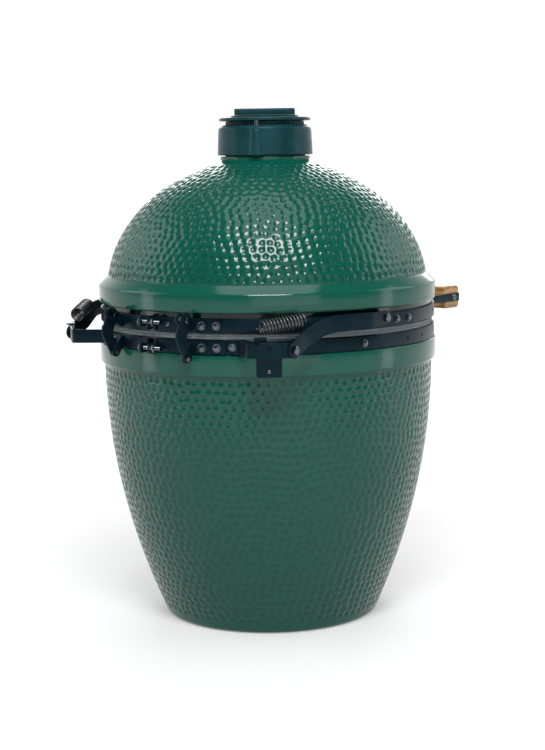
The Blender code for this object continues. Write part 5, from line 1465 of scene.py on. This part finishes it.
def vent(angle, height):
    """Round cutter for one vent hole on the vent circle."""
    at = Matrix.Translation((0.030 * math.cos(angle), 0.030 * math.sin(angle), height - 0.01))
    return rod(0.0105, 0.0, 0.03, 40, at)


# ---------------------------------------------------------------------------- thermometer

class GRILL_OT_thermometer(bpy.types.Operator):
    """Steel cup, enamel dial with ticks, needle and domed lens"""

    bl_idname = "grill.thermometer"
    bl_label = "Thermometer"

    def execute(self, context):
        place = aim(dome_front(), GAUGE_AXIS)
        rim, clear, floor = 0.0270, 0.0022, 0.0038
        cup = rounded([(0.0, -0.062), (0.0027, -0.062), (0.0027, -0.040), (0.0045, -0.039),
                       (0.0045, clear), (rim, clear), (rim, clear + 0.012),
                       (rim - 0.0016, clear + 0.012), (rim - 0.0016, floor), (0.0, floor)],
                      (0, 0.001, 0.0005, 0.0005, 0.0005, 0.003, 0.0007, 0.0005, 0.0005, 0))
        piece("gauge_cup", [turned(cup, 72, place=place)], "stainless", "dome", ("gauge_case",))
        face = floor + 0.0030
        dial = rounded([(0.0015, floor + 0.0003), (rim - 0.0019, floor + 0.0003),
                        (rim - 0.0019, face), (0.0015, face)], (0, 0.0002, 0.0004, 0.0002))
        piece("gauge_face", [turned(dial, 64, place=place)], "dial", "dome", ("gauge_dial",))
        ticks = []
        for n in range(27):
            long = n % 3 == 0
            turn = Matrix.Rotation(math.radians(130.0 - 10.0 * n), 4, "Z")
            span = (0.0165 if long else 0.0190, 0.0215)
            wide = 0.00055 if long else 0.00030
            outline = [(-wide, span[0]), (wide, span[0]), (wide, span[1]), (-wide, span[1])]
            ticks.append(plate(outline, face, face + 0.0002, place @ turn, 0.00005))
        piece("gauge_ticks", ticks, "ink", "dome")
        carry_over("needle", "gauge_needle")
        glass = clear + 0.009
        lens = [(0.0, glass), (rim - 0.0019, glass), (rim - 0.0019, glass + 0.0016)]
        turn = np.linspace(0.0, math.pi / 2, 8)[1:]
        lens += list(zip((rim - 0.0019) * np.cos(turn), glass + 0.0016 + 0.0012 * np.sin(turn)))
        piece("gauge_glass", [turned(lens, 64, place=place)], "glass", "dome", ("gauge_lens",))
        return {"FINISHED"}


def dome_front():
    """Where the thermometer's axis meets the dome's ellipse."""
    height = SEAM_TOP + 0.136
    return Vector((0.0, -float(dome_radius(height)), height))


# ---------------------------------------------------------------------------- inside

class GRILL_OT_inside(bpy.types.Operator):
    """Firebox, fire ring, grate, cooking grid and the draft door's steel"""

    bl_idname = "grill.inside"
    bl_label = "Fire and grid"

    def execute(self, context):
        self.clay()
        self.cooking_grid()
        carry_over("stainless", "draft_frame", "draft_door", "draft_screen")
        carry_over("iron", "fire_grate")
        return {"FINISHED"}

    def clay(self):
        bottom, top = low("firebox").z, high("firebox").z
        foot = belly(FLOOR) - WALL - 0.0136
        heights = np.linspace(bottom, top, 16)
        grate = high("fire_grate").x
        outer = [(foot, bottom), *[(belly(z) - WALL - 0.010, z) for z in heights[4:]]]
        rim = outer[-1][0] - 0.016
        shelf = low("fire_grate").z - 0.0003
        inner = [(rim, top), (rim - 0.022, (top + shelf) / 2), (grate + 0.006, shelf),
                 (grate - 0.019, shelf), (grate - 0.019, shelf - 0.016),
                 (foot - 0.016, shelf - 0.022), (foot - 0.016, bottom)]
        outline = rounded(outer + inner, (0.003,) + (0,) * (len(outer) - 2) + (0.004,)
                          + (0.004, 0.02, 0.004, 0.002, 0.002, 0.01, 0.003))
        box = piece("firebox_clay", [turned(outline, 96)], "clay", "base", ("firebox",))
        door = plate([(-0.046, 0.0), (0.046, 0.0), (0.046, 0.084), (-0.046, 0.084)], -0.30, 0.0,
                     front_view(), 1e-5)
        bore(box, [door])
        ring_low, ring_high = low("fire_ring").z, high("fire_ring").z
        wide = high("fire_ring").x
        narrow = belly(ring_low) - WALL - 0.008
        outline = rounded([(narrow - 0.015, ring_low), (narrow, ring_low), (wide, ring_high),
                           (wide - 0.015, ring_high)], (0.003,) * 4)
        piece("fire_ring_clay", [turned(outline, 96)], "clay", "base", ("fire_ring",))

    def cooking_grid(self):
        """Round rod bent to a ring, bars across it and two cross bars under them."""
        first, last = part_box("cooking_grid")
        rod = 0.0043
        ring = last.x - rod - 0.0001
        centre = first.z + rod + 0.0002
        angles = np.linspace(0.0, math.tau, 120, endpoint=False)
        shapes = [swept(plan(ring, angles, centre, 1), ring_section(rod), closed=True)]
        bars = 17
        for x in np.linspace(-ring, ring, bars + 2)[1:-1]:
            reach = math.sqrt(ring ** 2 - x * x)
            path = [(x, -reach, centre + 0.0010), (x, reach, centre + 0.0010)]
            shapes.append(swept(path, ring_section(0.0026)))
        for y in (-0.085, 0.085):
            reach = math.sqrt(ring ** 2 - y * y)
            path = [(-reach, y, centre - 0.0016), (reach, y, centre - 0.0016)]
            shapes.append(swept(path, ring_section(0.0026)))
        piece("grid_wires", shapes, "stainless", "grid", ("cooking_grid",), 60.0)


# ---------------------------------------------------------------------------- stage

class GRILL_OT_stage(bpy.types.Operator):
    """Pale floor, soft lights, world and camera"""

    bl_idname = "grill.stage"
    bl_label = "Stage"

    def execute(self, context):
        self.floor()
        self.lights()
        self.world(context)
        self.camera(context)
        return {"FINISHED"}

    def floor(self):
        radius = np.linspace(0.0, 9.0, 12)[:, None]
        angle = np.linspace(0.0, math.tau, 64, endpoint=False)[None]
        points = np.stack([radius * np.cos(angle), radius * np.sin(angle),
                           np.full(radius.shape, -0.0004) * np.ones(angle.shape)], axis=-1)
        item = add_object("studio_floor",
                          make_mesh("studio_floor", grid(points, False, True), False))
        item.data.materials.append(studio_finish())

    def lights(self):
        """Each light stands at an azimuth from the camera's, a distance and a height, and looks at
        a point on the axis."""
        for name, azimuth, distance, height, size, power, aim_height in (
                ("key_softbox", 1.0, 1.75, 2.35, (1.0, 0.85), 62.0, 0.60),
                ("top_softbox", 0.0, 0.35, 2.30, (1.3, 1.3), 13.0, 0.60),
                ("left_wall", -100.0, 1.9, 1.5, (1.2, 1.2), 8.0, 0.5),
                ("right_wall", 100.0, 1.9, 1.5, (1.2, 1.2), 8.0, 0.5),
                ("left_strip", -82.0, 2.0, 0.5, (0.35, 1.5), 3.0, 0.35),
                ("right_strip", 82.0, 2.0, 0.5, (0.35, 1.5), 3.0, 0.35),
                ("front_fill", 12.0, 3.2, 1.0, (2.6, 1.8), 17.0, 0.4),
                ("rear_fill", 175.0, 2.6, 1.6, (2.2, 1.6), 40.0, 0.4)):
            light = bpy.data.lights.new(name, "AREA")
            light.shape = "RECTANGLE"
            light.size, light.size_y = size
            light.energy = power
            turn = math.radians(CAMERA_AZIMUTH + azimuth)
            at = Vector((distance * math.sin(turn), -distance * math.cos(turn), height))
            item = add_object(name, light)
            item.location = at
            look = Vector((0, 0, aim_height)) - at
            item.rotation_euler = look.to_track_quat("-Z", "Y").to_euler()

    def world(self, context):
        """White behind and beside the grill and dim on the camera's side, where the glaze and the
        black steel look for something to mirror. The dimming follows the sine of the direction
        towards the camera."""
        world = bpy.data.worlds.new("studio")
        world.use_nodes = True
        nodes, links = world.node_tree.nodes, world.node_tree.links
        where = nodes.new("ShaderNodeTexCoord")
        towards = nodes.new("ShaderNodeVectorMath")
        towards.operation = "DOT_PRODUCT"
        turn = math.radians(CAMERA_AZIMUTH)
        towards.inputs[1].default_value = (math.sin(turn), -math.cos(turn), 1.0)
        ramp = nodes.new("ShaderNodeValToRGB")
        links.new(where.outputs["Generated"], towards.inputs[0])
        share = nodes.new("ShaderNodeMath")
        share.operation = "MULTIPLY_ADD"
        share.inputs[1].default_value = 0.5
        share.inputs[2].default_value = 0.5
        links.new(towards.outputs["Value"], share.inputs[0])
        links.new(share.outputs["Value"], ramp.inputs["Fac"])
        ramp.color_ramp.elements.new(0.5)
        for element, (place, value) in zip(ramp.color_ramp.elements,
                                           ((0.22, 1.0), (0.50, 0.36), (0.72, 0.12))):
            element.position = place
            element.color = (value, value, value, 1.0)
        links.new(ramp.outputs["Color"], nodes["Background"].inputs["Color"])
        nodes["Background"].inputs["Strength"].default_value = 1.05
        context.scene.world = world
        context.scene.view_settings.view_transform = "Standard"

    def camera(self, context):
        """A long lens at the object's shoulder height, turned a little off the axis and rolled."""
        azimuth = math.radians(CAMERA_AZIMUTH)
        at = Vector((CAMERA_DISTANCE * math.sin(azimuth), -CAMERA_DISTANCE * math.cos(azimuth),
                     CAMERA_HEIGHT))
        ahead = Vector((-at.x, -at.y, 0)).normalized()
        right = Vector((ahead.y, -ahead.x, 0))
        ahead = ahead * math.cos(CAMERA_YAW) + right * math.sin(CAMERA_YAW)
        right = Vector((ahead.y, -ahead.x, 0))
        ahead = ahead * math.cos(CAMERA_PITCH) - Vector((0, 0, math.sin(CAMERA_PITCH)))
        up = right.cross(ahead)
        level, rise = right.copy(), up.copy()
        right = level * math.cos(CAMERA_ROLL) - rise * math.sin(CAMERA_ROLL)
        up = rise * math.cos(CAMERA_ROLL) + level * math.sin(CAMERA_ROLL)
        data = bpy.data.cameras.new("camera")
        data.sensor_fit = "VERTICAL"
        data.sensor_height = 36.0
        data.lens = CAMERA_LENS
        data.clip_end = 50.0
        item = add_object("camera", data)
        turn = Matrix((right, up, -ahead)).transposed().to_4x4()
        turn.translation = at
        item.matrix_world = turn
        context.scene.camera = item


OPERATORS = (GRILL_OT_base, GRILL_OT_dome, GRILL_OT_felt, GRILL_OT_bands, GRILL_OT_hinge,
             GRILL_OT_springs, GRILL_OT_handle, GRILL_OT_cap, GRILL_OT_thermometer,
             GRILL_OT_inside, GRILL_OT_stage)


class GRILL_PT_panel(bpy.types.Panel):
    """Buttons and sizes in the sidebar"""

    bl_idname = "GRILL_PT_panel"
    bl_label = "Kamado grill"
    bl_space_type = "VIEW_3D"
    bl_region_type = "UI"
    bl_category = "Grill"

    def draw(self, context):
        for group in (context.scene.grill_sizes, context.scene.grill_colours):
            for name in group.bl_rna.properties.keys():
                if name not in ("rna_type", "name"):
                    self.layout.prop(group, name)
        for operator in OPERATORS:
            self.layout.operator(operator.bl_idname)


CLASSES = (GrillSizes, GrillColours, *OPERATORS, GRILL_PT_panel)


def register():
    for item in CLASSES:
        bpy.utils.register_class(item)
    bpy.types.Scene.grill_sizes = bpy.props.PointerProperty(type=GrillSizes)
    bpy.types.Scene.grill_colours = bpy.props.PointerProperty(type=GrillColours)


def unregister():
    del bpy.types.Scene.grill_colours
    del bpy.types.Scene.grill_sizes
    for item in reversed(CLASSES):
        bpy.utils.unregister_class(item)


def main():
    register()
    write_finishes(bpy.context.scene.grill_colours)
    for operator in OPERATORS:
        group, name = operator.bl_idname.split(".")
        getattr(getattr(bpy.ops, group), name)()


if __name__ == "__main__":
    main()
